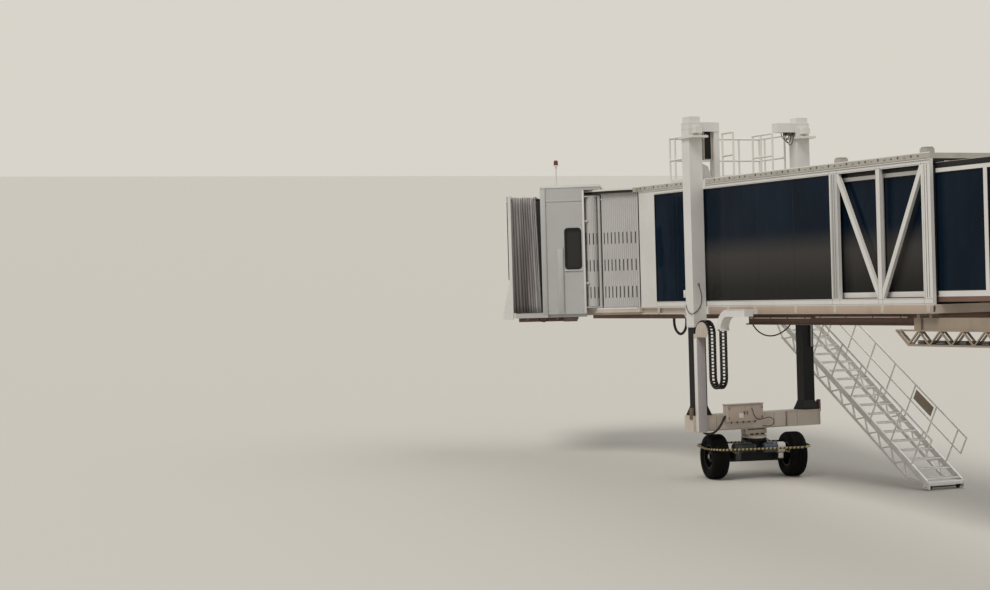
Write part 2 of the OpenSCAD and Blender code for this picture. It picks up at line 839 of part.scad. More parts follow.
module safety_hoop() {
  corner = 420;
  color("#c8b13a") on_pin() {
    for (x = [-hoop_reach, hoop_reach])
      translate([x, hoop_half - corner, hoop_z]) rotate([90, 0, 0])
        cylinder(r = hoop_r, h = 2 * (hoop_half - corner), $fn = 24);
    for (y = [-hoop_half, hoop_half])
      translate([-hoop_reach + corner, y, hoop_z]) rotate([0, 90, 0])
        cylinder(r = hoop_r, h = 2 * (hoop_reach - corner), $fn = 24);
    for (x = [-1, 1], y = [-1, 1])
      translate([x * (hoop_reach - corner), y * (hoop_half - corner), hoop_z])
        rotate([0, 0, x > 0 ? (y > 0 ? 0 : 270) : (y > 0 ? 90 : 180)])
          rotate_extrude(angle = 90, $fn = 48) translate([corner, 0]) circle(r = hoop_r, $fn = 24);
    for (y = [-hoop_bar_y - 20, hoop_bar_y]) {
      block([-hoop_reach - 10, hoop_reach + 10], [y, y + 20], [axle_z + 120, axle_z + 150]);
      for (x = [-hoop_reach, hoop_reach])
        block([x - 10, x + 10], [y, y + 20], [axle_z + 150, hoop_z]);
    }
  }
}

module tyre() {
  shoulder = 90;
  rotate([90, 0, 0]) rotate_extrude($fn = 96)
    polygon([[rim_r + seat, -tyre_w / 2 + 50], [rim_r + 90, -tyre_w / 2 + 10],
             [tyre_r - shoulder, -tyre_w / 2], [tyre_r - 30, -tyre_w / 2 + 25],
             [tyre_r, -tyre_w / 2 + shoulder], [tyre_r, tyre_w / 2 - shoulder],
             [tyre_r - 30, tyre_w / 2 - 25], [tyre_r - shoulder, tyre_w / 2],
             [rim_r + 90, tyre_w / 2 - 10], [rim_r + seat, tyre_w / 2 - 50]]);
}

module rim() {
  rotate([90, 0, 0]) rotate_extrude($fn = 96)
    polygon([[stub_r + pad_gap, -60], [130, -60], [150, -20], [rim_r - 30, -20],
             [rim_r - 30, -tyre_w / 2 + 50], [rim_r, -tyre_w / 2 + 50],
             [rim_r, tyre_w / 2 - 50], [rim_r - 30, tyre_w / 2 - 50],
             [rim_r - 30, 20], [150, 20], [130, 120], [stub_r + pad_gap, 120]]);
}

module on_wheel(side) {
  on_pin() translate([0, side * track / 2, axle_z]) rotate([0, 0, side > 0 ? 180 : 0]) children();
}

module tyre_left() { color("#151515") on_wheel(1) tyre(); }
module tyre_right() { color("#151515") on_wheel(-1) tyre(); }
module rim_left() { color("#202123") on_wheel(1) rim(); }
module rim_right() { color("#202123") on_wheel(-1) rim(); }

// Cab

cab_half = cab_w / 2;
cab_wall_t = 60;
cab_back = 1750;
cab_deck = floor_t + 46;
cab_lift = floor_t + 6;
cab_high = roof_high + 10;
cab_low = -30;
wall_in = cab_half - cab_wall_t;

canopy_half = 1400;
canopy_wall = 130;
pleat_low = 100;
nose_half = canopy_half - canopy_wall - 10;

module cab_floor() {
  color("#dbd9d2") on_cab() {
    disc(curtain_r - 45, [cab_lift, cab_deck]);
    block([0, cab_front], [-wall_in, wall_in], [cab_lift, cab_deck]);
    block([cab_front, cab_nose], [-nose_half, nose_half], [cab_lift, cab_deck]);
    ring(700, 600, [floor_t + pad_gap, cab_lift]);
    difference() {
      union() {
        block([cab_back, cab_front], [-wall_in, wall_in], [cab_low, cab_lift]);
        block([cab_front, cab_nose], [-wall_in, wall_in], [cab_low, pleat_low - 10]);
        block([cab_front, cab_nose], [-nose_half, nose_half], [pleat_low - 10, cab_lift]);
      }
      disc(head_r + 25, [cab_low - 1, cab_lift + 1]);
      block([cab_back, cab_nose - 120], [-wall_in + 120, wall_in - 120], [cab_low - 1, cab_lift - 40]);
    }
  }
}

window_t = [1860, 2250];
window_n = [1200, 2210];
window_round = 70;

// A window shape in the t-n plane with round corners
module window_shape(grow) {
  r = window_round + grow;
  for (t = window_t, n = window_n)
    translate([t + (t == window_t[0] ? window_round : -window_round),
               n + (n == window_n[0] ? window_round : -window_round)]) circle(r = r, $fn = 32);
  translate([window_t[0] - grow, window_n[0] + window_round])
    square([window_t[1] - window_t[0] + 2 * grow, window_n[1] - window_n[0] - 2 * window_round]);
  translate([window_t[0] + window_round, window_n[0] - grow])
    square([window_t[1] - window_t[0] - 2 * window_round, window_n[1] - window_n[0] + 2 * grow]);
}

module cab_wall() {
  difference() {
    block([cab_back, cab_front - 130], [wall_in, cab_half], [50, cab_high]);
    translate([0, cab_half + 10, 0]) rotate([90, 0, 0]) linear_extrude(cab_wall_t + 20)
      window_shape(0);
  }
  block([cab_front - 130, cab_front], [wall_in, cab_half + 25], [cab_low, cab_high + 90]);
  block([cab_front - 130, cab_front], [wall_in - 110, wall_in], [cab_deck, cab_high]);
  block([2310, 2460], [cab_half, cab_half + 40], [60, 1750]);
}

module cab_wall_left() { color("#cfcdc8") on_cab() cab_wall(); }
module cab_wall_right() { color("#cfcdc8") on_cab() mirror([0, 1, 0]) cab_wall(); }

module cab_windows() {
  color("#1b2024") on_cab() both_sides()
    translate([0, cab_half - 20, 0]) rotate([90, 0, 0]) linear_extrude(12) window_shape(-seat);
}

module cab_roof() {
  color("#d4d2cc") on_cab() {
    block([1350, cab_front - 130], [-cab_half, cab_half], [cab_high, cab_high + 130]);
    block([cab_front - 130, cab_front], [-wall_in, wall_in], [cab_high, cab_high + 60]);
    block([cab_front - 130, cab_front], [-wall_in + 110, wall_in - 110],
          [cab_high - 240, cab_high]);
  }
}

drum_t = 1560;
drum_w = 1290;
drum_r = 160;
guide_r = 40;
guide_t = curtain_r * cos(guide_turn);

module curtain_drums() {
  color("#c2c1bc") on_cab() both_sides() {
    translate([drum_t, drum_w, cab_deck]) cylinder(r = drum_r, h = frame_high - 30 - cab_deck);
    translate([guide_t, cab_half, cab_lift]) cylinder(r = guide_r, h = frame_high - 30 - cab_lift);
    for (n = [cab_lift, frame_high - 60])
      block([guide_t, cab_back - seat], [wall_in, cab_half], [n, n + 30]);
    for (n = [cab_lift + 600, frame_high - 700])
      block([drum_t + 100, cab_back - seat], [wall_in, wall_in + 40], [n, n + 60]);
  }
}

module cab_fittings() {
  color("#6a5f58") on_cab() {
    translate([2480, 700, cab_high + 130]) cylinder(r = 22, h = 420);
    translate([2480, 700, cab_high + 550]) cylinder(r = 70, h = 160);
    for (t = [2500, 3250]) translate([t, wall_in - 60, cab_low - 60]) cylinder(r = 55, h = 60);
    block([2000, 2350], [wall_in - 110, wall_in - 10], [cab_low - 110, cab_low]);
  }
}

bellows_t = [cab_front + 0.3, cab_nose + 60];
canopy_top = 3080;
pleat_count = 9;

module canopy_bellows() {
  pitch = (bellows_t[1] - bellows_t[0]) / pleat_count;
  valley = 70;
  side = concat(
    [for (k = [0 : pleat_count - 1], h = [0, 1])
      [bellows_t[0] + (k + h / 2) * pitch, canopy_half - (h == 0 ? valley : 0)]],
    [[bellows_t[1], canopy_half - valley], [bellows_t[1], canopy_half - canopy_wall],
     [bellows_t[0], canopy_half - canopy_wall]]);
  top = concat(
    [for (k = [0 : pleat_count - 1], h = [0, 1])
      [bellows_t[0] + (k + h / 2) * pitch, canopy_top - (h == 0 ? valley : 0)]],
    [[bellows_t[1], canopy_top - valley], [bellows_t[1], canopy_top - canopy_wall],
     [bellows_t[0], canopy_top - canopy_wall]]);
  color("#4d4846") on_cab() {
    both_sides() translate([0, 0, pleat_low])
      linear_extrude(canopy_top - canopy_wall - pleat_low) polygon(side);
    translate([0, canopy_half - valley, 0]) rotate([90, 0, 0])
      linear_extrude(2 * (canopy_half - valley)) polygon(top);
  }
}

canopy_t = [cab_nose + 60.3, cab_nose + 140];

module canopy_frame() {
  color("#d8d6d0") on_cab() {
    both_sides() {
      block(canopy_t, [canopy_half - canopy_wall, canopy_half], [cab_low - 30, canopy_top]);
      translate([0, canopy_half, 0]) rotate([90, 0, 0]) linear_extrude(canopy_wall)
        polygon([[canopy_t[1], cab_low - 30], [canopy_t[1] + 200, cab_low - 30],
                 [canopy_t[1] + 180, cab_low + 90], [canopy_t[1], cab_low + 900]]);
    }
    block(canopy_t, [-canopy_half + canopy_wall, canopy_half - canopy_wall],
          [canopy_top - canopy_wall, canopy_top]);
  }
}

// Stair in a level frame at the foot of the lift columns

stringer_t = 30;
stair_foot_x = -3560;
stair_foot_z = 240;
stair_top_x = 3060;
stair_top_z = deck_height - 130;
stair_run = [stair_top_x - stair_foot_x, stair_top_z - stair_foot_z];
stair_len = norm(stair_run);
stair_lean = atan2(stair_run[1], stair_run[0]);
stair_pin_r = 20;
stair_pin_x = column_x + stair_top_x - 30;
stair_pin_z = stair_top_z - 40;
foot_axle_x = stair_foot_x - 20;
foot_axle_r = 15;

module on_stair() {
  translate([column_x + stair_top_x, 0, stair_top_z]) rotate([0, -stair_lean, 0])
    translate([-stair_len, 0, 0]) children();
}

chord_drop = 400;
brace_count = 10;

module stair_truss() {
  pitch = (stair_len - 1500) / brace_count;
  panel([-60, stair_len - 60], [-140, 0]);
  panel([560, stair_len - 800], [-chord_drop, -chord_drop + 45]);
  bar([60, -110], [600, -chord_drop + 20], 45);
  bar([stair_len - 840, -chord_drop + 20], [stair_len - 260, -110], 45);
  for (k = [0 : brace_count - 1]) {
    x = 580 + k * pitch;
    bar([x, -chord_drop + 20], [x + pitch / 2, -120], 35);
    bar([x + pitch / 2, -120], [x + pitch, -chord_drop + 20], 35);
  }
}

// One side of the stair with its eye at the top and its foot plate, drawn from its pin
module stair_side() {
  difference() {
    union() {
      translate([stair_top_x, stair_top_z]) rotate(stair_lean) translate([-stair_len, 0])
        stair_truss();
      translate([stair_pin_x - column_x, stair_pin_z]) circle(r = 45);
      panel([foot_axle_x - 130, foot_axle_x + 110], [25, 190]);
    }
    translate([stair_pin_x - column_x, stair_pin_z]) circle(r = stair_pin_r + pad_gap);
    translate([foot_axle_x, 60]) circle(r = foot_axle_r + pad_gap);
  }
}

module stair_sides() {
  color("#c9c9c4") translate([column_x, 0, 0]) {
    upright([stair_y[1], stair_y[1] + stringer_t]) stair_side();
    upright([stair_y[0] - stringer_t, stair_y[0]]) stair_side();
  }
}

module stair_treads() {
  color("#bdbdb8") translate([column_x, 0, 0]) for (k = [1 : tread_count]) {
    x = stair_foot_x + (k - 0.6) * stair_run[0] / tread_count;
    z = stair_foot_z + (k - 0.6) * stair_run[1] / tread_count;
    block([x - tread_d / 2, x + tread_d / 2], stair_y, [z - 90, z - 55]);
  }
}

hand_high = 920;
hand_mid = 480;

module stair_rails() {
  color("#d6d6d1") on_stair() {
    for (y = [stair_y[1] + stringer_t / 2, stair_y[0] - stringer_t / 2]) {
      side = [y - 15, y + 15];
      block([250, stair_len - 150], side, [hand_high - 20, hand_high + 20]);
      block([250, stair_len - 150], side, [hand_mid - 15, hand_mid + 15]);
      block([250, 290], side, [hand_mid, hand_high]);
      for (k = [0 : 7]) {
        x = 600 + k * 930;
        block([x, x + 35], side, [0, hand_high]);
      }
    }
  }
}

module stair_wheels() {
  color("#2a2a2a") translate([column_x + foot_axle_x, 0, 60]) {
    for (y = [stair_y[0] + 100, stair_y[1] - 60])
      translate([0, y, 0]) rotate([90, 0, 0]) cylinder(r = 60, h = 40);
    translate([0, stair_y[1] + stringer_t, 0]) rotate([90, 0, 0])
      cylinder(r = foot_axle_r, h = stair_w + 2 * stringer_t);
  }
}

// Free hoses under the tunnel: points in the tunnel frame from the lift columns

hose_r = 32;
hose_path = [[1900, 1020, -110.3], [1900, 1020, -150], [1900, 1020, -190], [1880, 1020, -290],
             [1820, 1020, -390], [1720, 1020, -460], [1600, 1020, -490], [1480, 1020, -460],
             [1380, 1020, -390], [1320, 1020, -290], [1300, 1020, -190], [1300, 1020, -150],
             [1300, 1020, -110.3]];
cable_r = 16;
cable_path = [[-120, 100, 139.7], [-120, 100, 80], [-120, 100, 20], [-120, 92, -90],
              [-120, 60, -200], [-120, 0, -320], [-120, -110, -440], [-120, -260, -530],
              [-120, -430, -570], [-120, -600, -560], [-120, -780, -500], [-120, -940, -400],
              [-120, -1060, -290], [-120, -1150, -215], [-120, -1210, -200], [-120, -1270, -200],
              [-120, -1326.7, -200]];

function unit(v) = v / norm(v);
function tangent(p, i) =
  unit(p[min(i + 1, len(p) - 1)] - p[max(i - 1, 0)]);

// A point on a smooth curve through the listed points
function curve(p, i, t) =
  let (a = p[max(i - 1, 0)], b = p[i], c = p[i + 1], d = p[min(i + 2, len(p) - 1)])
  0.5 * (2 * b + (c - a) * t + (2 * a - 5 * b + 4 * c - d) * t * t
    + (3 * b - a - 3 * c + d) * t * t * t);

function smooth_path(p, steps) = concat(
  [for (i = [0 : len(p) - 2], k = [0 : steps - 1]) curve(p, i, k / steps)], [p[len(p) - 1]]);

// A tube of round section swept along a path that stays square to the side vector
module hose(path, r, side, sides = 8) {
  p = smooth_path(path, 2);
  n = len(p);
  rings = [for (i = [0 : n - 1])
    let (t = tangent(p, i), u = unit(side), v = cross(t, u))
    for (k = [0 : sides - 1]) p[i] + r * (cos(360 * k / sides) * u + sin(360 * k / sides) * v)];
  walls = [for (i = [0 : n - 2], k = [0 : sides - 1])
    let (a = i * sides + k, b = i * sides + (k + 1) % sides) [a, b, b + sides, a + sides]];
  polyhedron(rings, concat(walls, [[for (k = [sides - 1 : -1 : 0]) k]],
             [[for (k = [0 : sides - 1]) (n - 1) * sides + k]]), convexity = 4);
}

module hose_loop() { color("#1a1a1a") on_outer() hose(hose_path, hose_r, [0, 1, 0]); }
module cable_loop() { color("#1c1a1a") on_outer() hose(cable_path, cable_r, [1, 0, 0]); }

support_column();
lobby_floor();
lobby_portal();
lobby_roof();
lobby_curtains();
swing_frame();
hinge_bellows();
inner_floor();
inner_roof();
inner_frame_left();
inner_frame_right();
inner_glass();
outer_floor();
outer_underframe();
outer_roof();
outer_frame_left();
outer_frame_right();
outer_glass();
lift_tubes();
column_heads();
head_screen();
roof_rails();
bridgehead_floor();
bridgehead_roof();
curtain_left();
curtain_right();
cable_tray();
tray_chain();
chain_trough();
lift_chain();
service_landing();
landing_rails();
service_door();
hose_loop();
cable_loop();
lower_columns();
cross_beam();
control_cabinet();
pivot_block();
bogie_frame();
drive_motors();
safety_hoop();
tyre_left();
rim_left();
tyre_right();
rim_right();
cab_floor();
cab_wall_left();
cab_wall_right();
cab_roof();
cab_windows();
curtain_drums();
cab_fittings();
canopy_bellows();
canopy_frame();
stair_sides();
stair_treads();
stair_rails();
stair_wheels();
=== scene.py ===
import json
from math import acos, atan2, copysign, cos, degrees, pi, radians, sin, tan

import bmesh
import bpy
from mathutils import Matrix, Vector, noise


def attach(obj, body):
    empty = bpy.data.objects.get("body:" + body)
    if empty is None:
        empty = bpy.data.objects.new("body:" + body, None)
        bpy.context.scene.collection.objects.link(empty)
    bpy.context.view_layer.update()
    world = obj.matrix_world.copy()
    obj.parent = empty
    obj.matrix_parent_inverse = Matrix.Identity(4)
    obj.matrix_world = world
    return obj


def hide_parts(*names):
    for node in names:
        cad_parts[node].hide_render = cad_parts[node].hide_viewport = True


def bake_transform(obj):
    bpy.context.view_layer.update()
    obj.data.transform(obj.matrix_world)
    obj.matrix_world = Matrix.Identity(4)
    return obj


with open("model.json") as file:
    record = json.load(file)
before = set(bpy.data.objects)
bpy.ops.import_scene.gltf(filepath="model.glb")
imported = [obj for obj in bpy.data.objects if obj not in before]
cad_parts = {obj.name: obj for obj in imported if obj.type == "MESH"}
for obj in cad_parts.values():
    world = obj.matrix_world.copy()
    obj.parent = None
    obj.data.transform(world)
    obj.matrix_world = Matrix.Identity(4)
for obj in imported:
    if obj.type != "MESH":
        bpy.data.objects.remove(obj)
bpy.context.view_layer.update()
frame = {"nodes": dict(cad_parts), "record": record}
nodes = frame["nodes"]

# Places on the part, in metres, as its source gives them
SLOPE = radians(3.75)
DECK = 3.93
COLUMN_A = 15.7
HINGE = Vector((2.05, 0, DECK + COLUMN_A * sin(SLOPE)))
COLUMN_X = HINGE.x + COLUMN_A * cos(SLOPE)
LOBBY_Z = HINGE.z + 0.33
TUNNEL = Matrix.Translation(HINGE) @ Matrix.Rotation(SLOPE, 4, "Y")
OUTER = TUNNEL @ Matrix.Translation((COLUMN_A, 0, 0))
HEAD = OUTER @ Matrix.Translation((4.57, 0, 0))
CAB = HEAD @ Matrix.Rotation(radians(60), 4, "Z")
PIN = Matrix.Translation((17.53096, 0, 0))
BOGIE = PIN @ Matrix.Rotation(radians(-10), 4, "Z")
STAIR_RUN, STAIR_RISE = 6.62, 3.56
STAIR_LEN = Vector((STAIR_RUN, 0, STAIR_RISE)).length
STRINGERS = (-2.515, -3.495)
STAIR = (Matrix.Translation((COLUMN_X + 3.06, 0, 3.8))
         @ Matrix.Rotation(-atan2(STAIR_RISE, STAIR_RUN), 4, "Y")
         @ Matrix.Translation((-STAIR_LEN, 0, 0)))
LOBBY = Matrix.Translation((0, 0, LOBBY_Z))
LEVEL = Matrix.Identity(4)
# The frame that a body's pieces are drawn in
home = {"outer_tunnel": OUTER, "inner_tunnel": TUNNEL, "cab": CAB, "canopy": CAB,
        "carriage": OUTER, "pivot": PIN, "bogie": BOGIE, "stair": STAIR, "support": LOBBY}
# The two sides of the part's middle plane, y above 0 and below it
BOTH = (-1, 1)
SIDES = ((1, "left"), (-1, "right"))


# The camera stands where the photograph was taken: above the apron, left of the lobby
view = bpy.data.cameras.new("view")
view.sensor_width = 36
view.lens = 73.84
camera = bpy.data.objects.new("camera", view)
bpy.context.scene.collection.objects.link(camera)
camera.location = (-23.70, 25.84, 7.316)
camera.rotation_euler = Vector((0.9063, -0.4181, -0.0611)).to_track_quat("-Z", "Y").to_euler()
view.clip_end = 4000
bpy.context.scene.camera = camera


def rgb(code):
    """A linear colour from an sRGB hex value."""
    parts = [int(code[i:i + 2], 16) / 255 for i in (1, 3, 5)]
    linear = [p / 12.92 if p <= 0.04045 else ((p + 0.055) / 1.055) ** 2.4 for p in parts]
    return (*linear, 1)


def join(tree, node, inputs):
    """Gives a node's inputs their links, values or sRGB hex colours."""
    for key, value in inputs.items():
        if isinstance(value, bpy.types.NodeSocket):
            tree.links.new(value, node.inputs[key])
        else:
            node.inputs[key].default_value = rgb(value) if isinstance(value, str) else value


def add(tree, kind, inputs, out=0, **settings):
    """Adds a node with its settings and its inputs, and gives back one of its outputs."""
    node = tree.nodes.new("ShaderNode" + kind)
    for key, value in settings.items():
        setattr(node, key, value)
    join(tree, node, inputs)
    return node.outputs[out]


def fresh(name):
    """A new material with its shader, and the place of each point in metres."""
    made = bpy.data.materials.new(name)
    made.use_nodes = True
    tree = made.node_tree
    place = add(tree, "TexCoord", {}, "Object")
    return made, tree, tree.nodes["Principled BSDF"], place


def speckle(tree, place, size_mm, stretch=(1, 1, 1), detail=4.0, low=0.35, high=0.65):
    """A noise mask from 0 to 1 whose spots are about size_mm across, stretched as told."""
    spots = add(tree, "Mapping", {"Vector": place,
                "Scale": [1000 / size_mm / s for s in stretch]})
    cloud = add(tree, "TexNoise", {"Vector": spots, "Scale": 1.0, "Detail": detail,
                "Roughness": 0.6})
    return add(tree, "MapRange", {"Value": cloud, "From Min": low, "From Max": high})


def coats(tree, base, *layers):
    """A base colour under layers, each a mask, how much of it shows, and its colour."""
    for mask, share, colour in layers:
        mask = add(tree, "Math", {0: mask, 1: share}, operation="MULTIPLY")
        base = add(tree, "Mix", {0: mask, 6: base, 7: colour}, 2, data_type="RGBA")
    return base


def between(tree, mask, low, high):
    """A roughness that goes from low to high where the mask goes from 0 to 1."""
    return add(tree, "MapRange", {"Value": mask, "To Min": low, "To Max": high})


def relief(tree, height, strength, depth=0.002):
    """Fine relief of the surface, depth in metres."""
    return add(tree, "Bump", {"Height": height, "Strength": strength, "Distance": depth})


def paint(name, colour, worn, grime, rough, streaks=0.35, chips=0.0, level=0.5):
    """Sprayed steel: a slow tone change, fine rain streaks, dust film and orange peel."""
    made, tree, shader, place = fresh(name)
    film = speckle(tree, place, 420, (1, 1, 1.6), 7, 0.5, 0.85)
    layers = [(speckle(tree, place, 1300, detail=2), 0.5, worn),
              (speckle(tree, place, 22, (1, 1, 45), 3, 0.55, 0.85), streaks * 0.4, grime),
              (film, streaks * 0.6, grime)]
    if chips:
        layers.append((speckle(tree, place, 24, (1, 1, 1), 6, 0.66, 0.68), chips, "#5a3a2c"))
    peel = speckle(tree, place, 6, detail=2, low=0, high=1)
    join(tree, shader, {
        "Base Color": coats(tree, colour, *layers), "Specular IOR Level": level,
        "Roughness": between(tree, film, rough, min(0.9, rough + 0.25)),
        "Normal": relief(tree, peel, 0.06)})
    return made


# Sprayed two-coat enamel on sheet steel: satin, off-white, with grey rain streaks
white_paint = paint("enamel_off_white", "#dad7d1", "#cecac3", "#9a9489", 0.38)
# The same enamel in a warmer grey-beige on beams and boxes, dustier
grey_paint = paint("enamel_warm_grey", "#c6baac", "#b6aa9b", "#857869", 0.45, 0.5, 0.6)
# Cool grey enamel of the upright duct, and the beige one of the cabinet's doors
duct_paint = paint("enamel_cool_grey", "#aaa3a3", "#9d9697", "#7b7472", 0.45, 0.4)
door_paint = paint("enamel_beige", "#b6a597", "#a8988a", "#7e7063", 0.45, 0.5)
# Tinted sheet of the cab's windows: brown-grey, scuffed
cab_glass = paint("tinted_acrylic", "#33312e", "#3b3935", "#4a4844", 0.1, 0.2, level=0.15)
# Covers over the lower channel: brown-beige, partly their enamel and partly painted bounce light,
# the warm light from the ground
channel_paint_and_bounce = paint("enamel_with_painted_bounce_light", "#b39f8e", "#a59180", "#786a5c", 0.5, 0.4)
# Drab brown enamel of the cable tray
tray_paint = paint("enamel_drab_brown", "#9a8a78", "#877867", "#5b4d40", 0.5, 0.6)
# Roof enamel: flat weathered light grey, dirtied where water stands
roof_paint = paint("enamel_roof_grey", "#b4afa4", "#9f998c", "#6c665b", 0.55, 0.7)
# Cab enamel: a shade greyer than the tunnel's
cab_paint = paint("enamel_cab_grey", "#b6b5b1", "#adaba7", "#8a857c", 0.4, 0.3)
# Red-brown anti-rust primer left bare under the floors: dull, dusty
brown_steel = paint("primer_red_brown", "#73564a", "#5a4035", "#8a7560", 0.6, 0.6)
# Black enamel on rolled sections: dull with grey dust and rubbed slide marks
black_steel = paint("enamel_black", "#0b0c0e", "#08090a", "#252321", 0.5, 0.3, level=0.25)
# Drive machinery: dark machine enamel, oily
motor_paint = paint("machine_dark_grey", "#2c3034", "#222527", "#12100d", 0.4, 0.5)
# Electric motor housing: blue-grey machine enamel
motor_blue = paint("machine_blue_grey", "#59636e", "#4a525b", "#2a2826", 0.4, 0.4)
# Cast gearbox housings: pale machine enamel, stained
gearbox_paint = paint("machine_pale_grey", "#d2cdc4", "#bdb6aa", "#6b5f50", 0.5, 0.6)
# Small painted fittings: brownish grey
fitting_metal = paint("enamel_fitting_brown", "#5d4c44", "#4c3e38", "#2e2724", 0.5, 0.4)
# Ribbed lens of the beacon: red-brown under dust
lamp_lens = paint("lens_red_brown", "#6b2c20", "#57241b", "#2e1712", 0.25, 0.3)
# Galvanised clips, clamps and bolt heads: pale grey with dull spangle
zinc_metal = paint("zinc_plated_steel", "#9c9a94", "#85827b", "#5b564f", 0.45, 0.5)


def bare_metal(name, colour, dark):
    """Mill-finish aluminium: drawn along its length, oxide blooms, dull reflections."""
    made, tree, shader, place = fresh(name)
    bloom = speckle(tree, place, 300, detail=5)
    drawn = speckle(tree, place, 5, (30, 1, 1), 3, 0.2, 0.8)
    join(tree, shader, {
        "Base Color": coats(tree, colour, (bloom, 0.6, dark)), "Metallic": 0.08,
        "Roughness": between(tree, drawn, 0.37, 0.57),
        "Normal": relief(tree, drawn, 0.05, 0.001)})
    return made


# Extruded aluminium of the stair and rails, near white: partly the metal's own colour, partly
# painted light that makes up for the tunnel's shadow on the stair
stair_metal = bare_metal("aluminium_with_painted_light", "#f2f0eb", "#d9d6cf")
# Coated slats of the wind-up curtains: satin grey, dirt in the folds
slat_metal = paint("coated_slat_grey", "#bcbab6", "#b0ada8", "#7d7972", 0.4, 0.45)


def glass():
    """Solar glass: near black with a blue cast; over its lower half a brown-grey that is partly
    dust film and partly a painted reflection of the ground.
    """
    made, tree, shader, place = fresh("tinted_glass_with_painted_reflection")
    x, z = (add(tree, "SeparateXYZ", {"Vector": place}, axis) for axis in "XZ")
    # The height that follows the tunnels' slope, and the stretch of them where the dust film and
    # the painted reflection of the ground lie
    slant = add(tree, "Math", {0: x, 1: tan(SLOPE), 2: z}, operation="MULTIPLY_ADD")
    film, foot = (add(tree, "MapRange", {"Value": slant, "From Min": top,
                      "From Max": low}, interpolation_type="SMOOTHSTEP")
                  for top, low in ((7.0, 6.35), (6.5, 5.5)))
    # On this stretch of the tunnels only, the lower half takes the painted reflection of the
    # ground, darker at its foot
    ground_reflection_patch = add(tree, "Math", {0: x, 1: 13.4, 2: 4.3}, operation="COMPARE")
    share = add(tree, "Math", {0: film, 1: ground_reflection_patch}, operation="MULTIPLY")
    dust = speckle(tree, place, 160, (1, 1, 3), 6, 0.5, 0.9)
    cast = speckle(tree, place, 1400, (1, 1, 2), 2)
    join(tree, shader, {
        "Base Color": coats(tree, "#0b1724", (cast, 1, "#111f2c"),
                            (share, 1, coats(tree, "#403d3a", (foot, 1, "#262422"))),
                            (dust, 0.08, "#4d4f4e")),
        "Roughness": between(tree, dust, 0.05, 0.18), "Specular IOR Level": 0.05})
    return made


tinted_glass = glass()


def rubber(name, colour, dusty, rough, grain_mm=3.0, level=0.4):
    """Moulded rubber: matt, with pale dust in its grain."""
    made, tree, shader, place = fresh(name)
    dust = speckle(tree, place, 120, detail=6, low=0.45, high=0.85)
    grain = speckle(tree, place, grain_mm, detail=3, low=0, high=1)
    join(tree, shader, {
        "Base Color": coats(tree, colour, (dust, 0.6, dusty)), "Roughness": rough,
        "Specular IOR Level": level, "Normal": relief(tree, grain, 0.2)})
    return made


# Solid press-on tyre rubber, greyed by apron dust
tyre_rubber = rubber("tyre_rubber", "#030303", "#100f0e", 0.85, level=0.15)
# Rubber sheath of hoses and cable chains
cable_rubber = rubber("cable_sheath", "#110e0c", "#27211d", 0.6)
# Neoprene seals and black gaps
seal_rubber = rubber("seal_neoprene", "#0c0c0d", "#1f1e1d", 0.6)
# Ribbed floor covering in the lobby
floor_covering = rubber("floor_ribbed_rubber", "#3b3c3e", "#57544f", 0.65, 8.0)
# Black moulded wheels
wheel_plastic = rubber("wheel_black_nylon", "#1a1a1a", "#3d3a37", 0.45, 2.0)


def fabric():
    """PVC-coated polyester: brown-grey, paler and chalky towards the top, woven grain."""
    made, tree, shader, place = fresh("coated_polyester_fabric")
    height = add(tree, "SeparateXYZ", {"Vector": place}, "Z")
    rise = add(tree, "MapRange", {"Value": height, "From Min": 3.4, "From Max": 6.9})
    # How far out a point lies along the cab: bleached where the canopy leaves its wall
    out = add(tree, "VectorMath", {0: place, 1: (0.5, 0.866, 0)}, "Value",
              operation="DOT_PRODUCT")
    bleach = add(tree, "MapRange", {"Value": out, "From Min": 14.42, "From Max": 14.12})
    runs = speckle(tree, place, 55, (1, 1, 12), 5, 0.4, 0.75)
    weave = add(tree, "TexWave", {"Vector": place, "Scale": 160.0, "Distortion": 1.0,
                "Detail": 1.0}, "Fac")
    join(tree, shader, {
        "Base Color": coats(tree, "#5d5652", (rise, 1, "#a39e9a"), (bleach, 0.8, "#c9c5c2"),
                            (runs, 0.4, "#3b3635")),
        "Roughness": 0.62, "Normal": relief(tree, weave, 0.12)})
    return made


bellows_fabric = fabric()


def banded():
    """Hazard bands, about 50 mm each along the hoop, dull yellow and black, chipped."""
    made, tree, shader, place = fresh("hazard_band_paint")
    turn = add(tree, "Mapping", {"Vector": place, "Rotation": (0, 0, radians(10))})
    x, y = (add(tree, "SeparateXYZ", {"Vector": turn}, axis) for axis in "XY")
    run = add(tree, "Math", {0: x, 1: y}, operation="ADD")
    step = add(tree, "Math", {0: run, 1: 0.05}, operation="PINGPONG")
    band = add(tree, "Math", {0: step, 1: 0.025}, operation="GREATER_THAN")
    wear = speckle(tree, place, 40, detail=6, low=0.5, high=0.8)
    join(tree, shader, {"Base Color": coats(tree, "#a3925c", (band, 1, "#2a2622"),
                                            (wear, 0.5, "#6b6252")), "Roughness": 0.5})
    return made


warning_paint = banded()

finishes = {
    "white_paint": white_paint, "grey_paint": grey_paint, "roof_paint": roof_paint,
    "cab_paint": cab_paint, "floor_covering": floor_covering, "slat_metal": slat_metal,
    "tinted_glass": tinted_glass, "brown_steel": brown_steel, "black_steel": black_steel,
    "motor_paint": motor_paint, "warning_paint": warning_paint, "tyre_rubber": tyre_rubber,
    "stair_metal": stair_metal, "wheel_plastic": wheel_plastic,
    "bellows_fabric": bellows_fabric, "cable_rubber": cable_rubber,
    "fitting_metal": fitting_metal,
}
# Finishes that are shades of a slot's own
own = {"cable_tray": tray_paint, "cab_windows": cab_glass}
for part in frame["record"]["subparts"]:
    shell = nodes[part["node"]].data
    shell.materials.clear()
    shell.materials.append(own.get(part["node"], finishes[part["material_slot"]]))


# Shapes made with bmesh, in the metres of one of the frames above

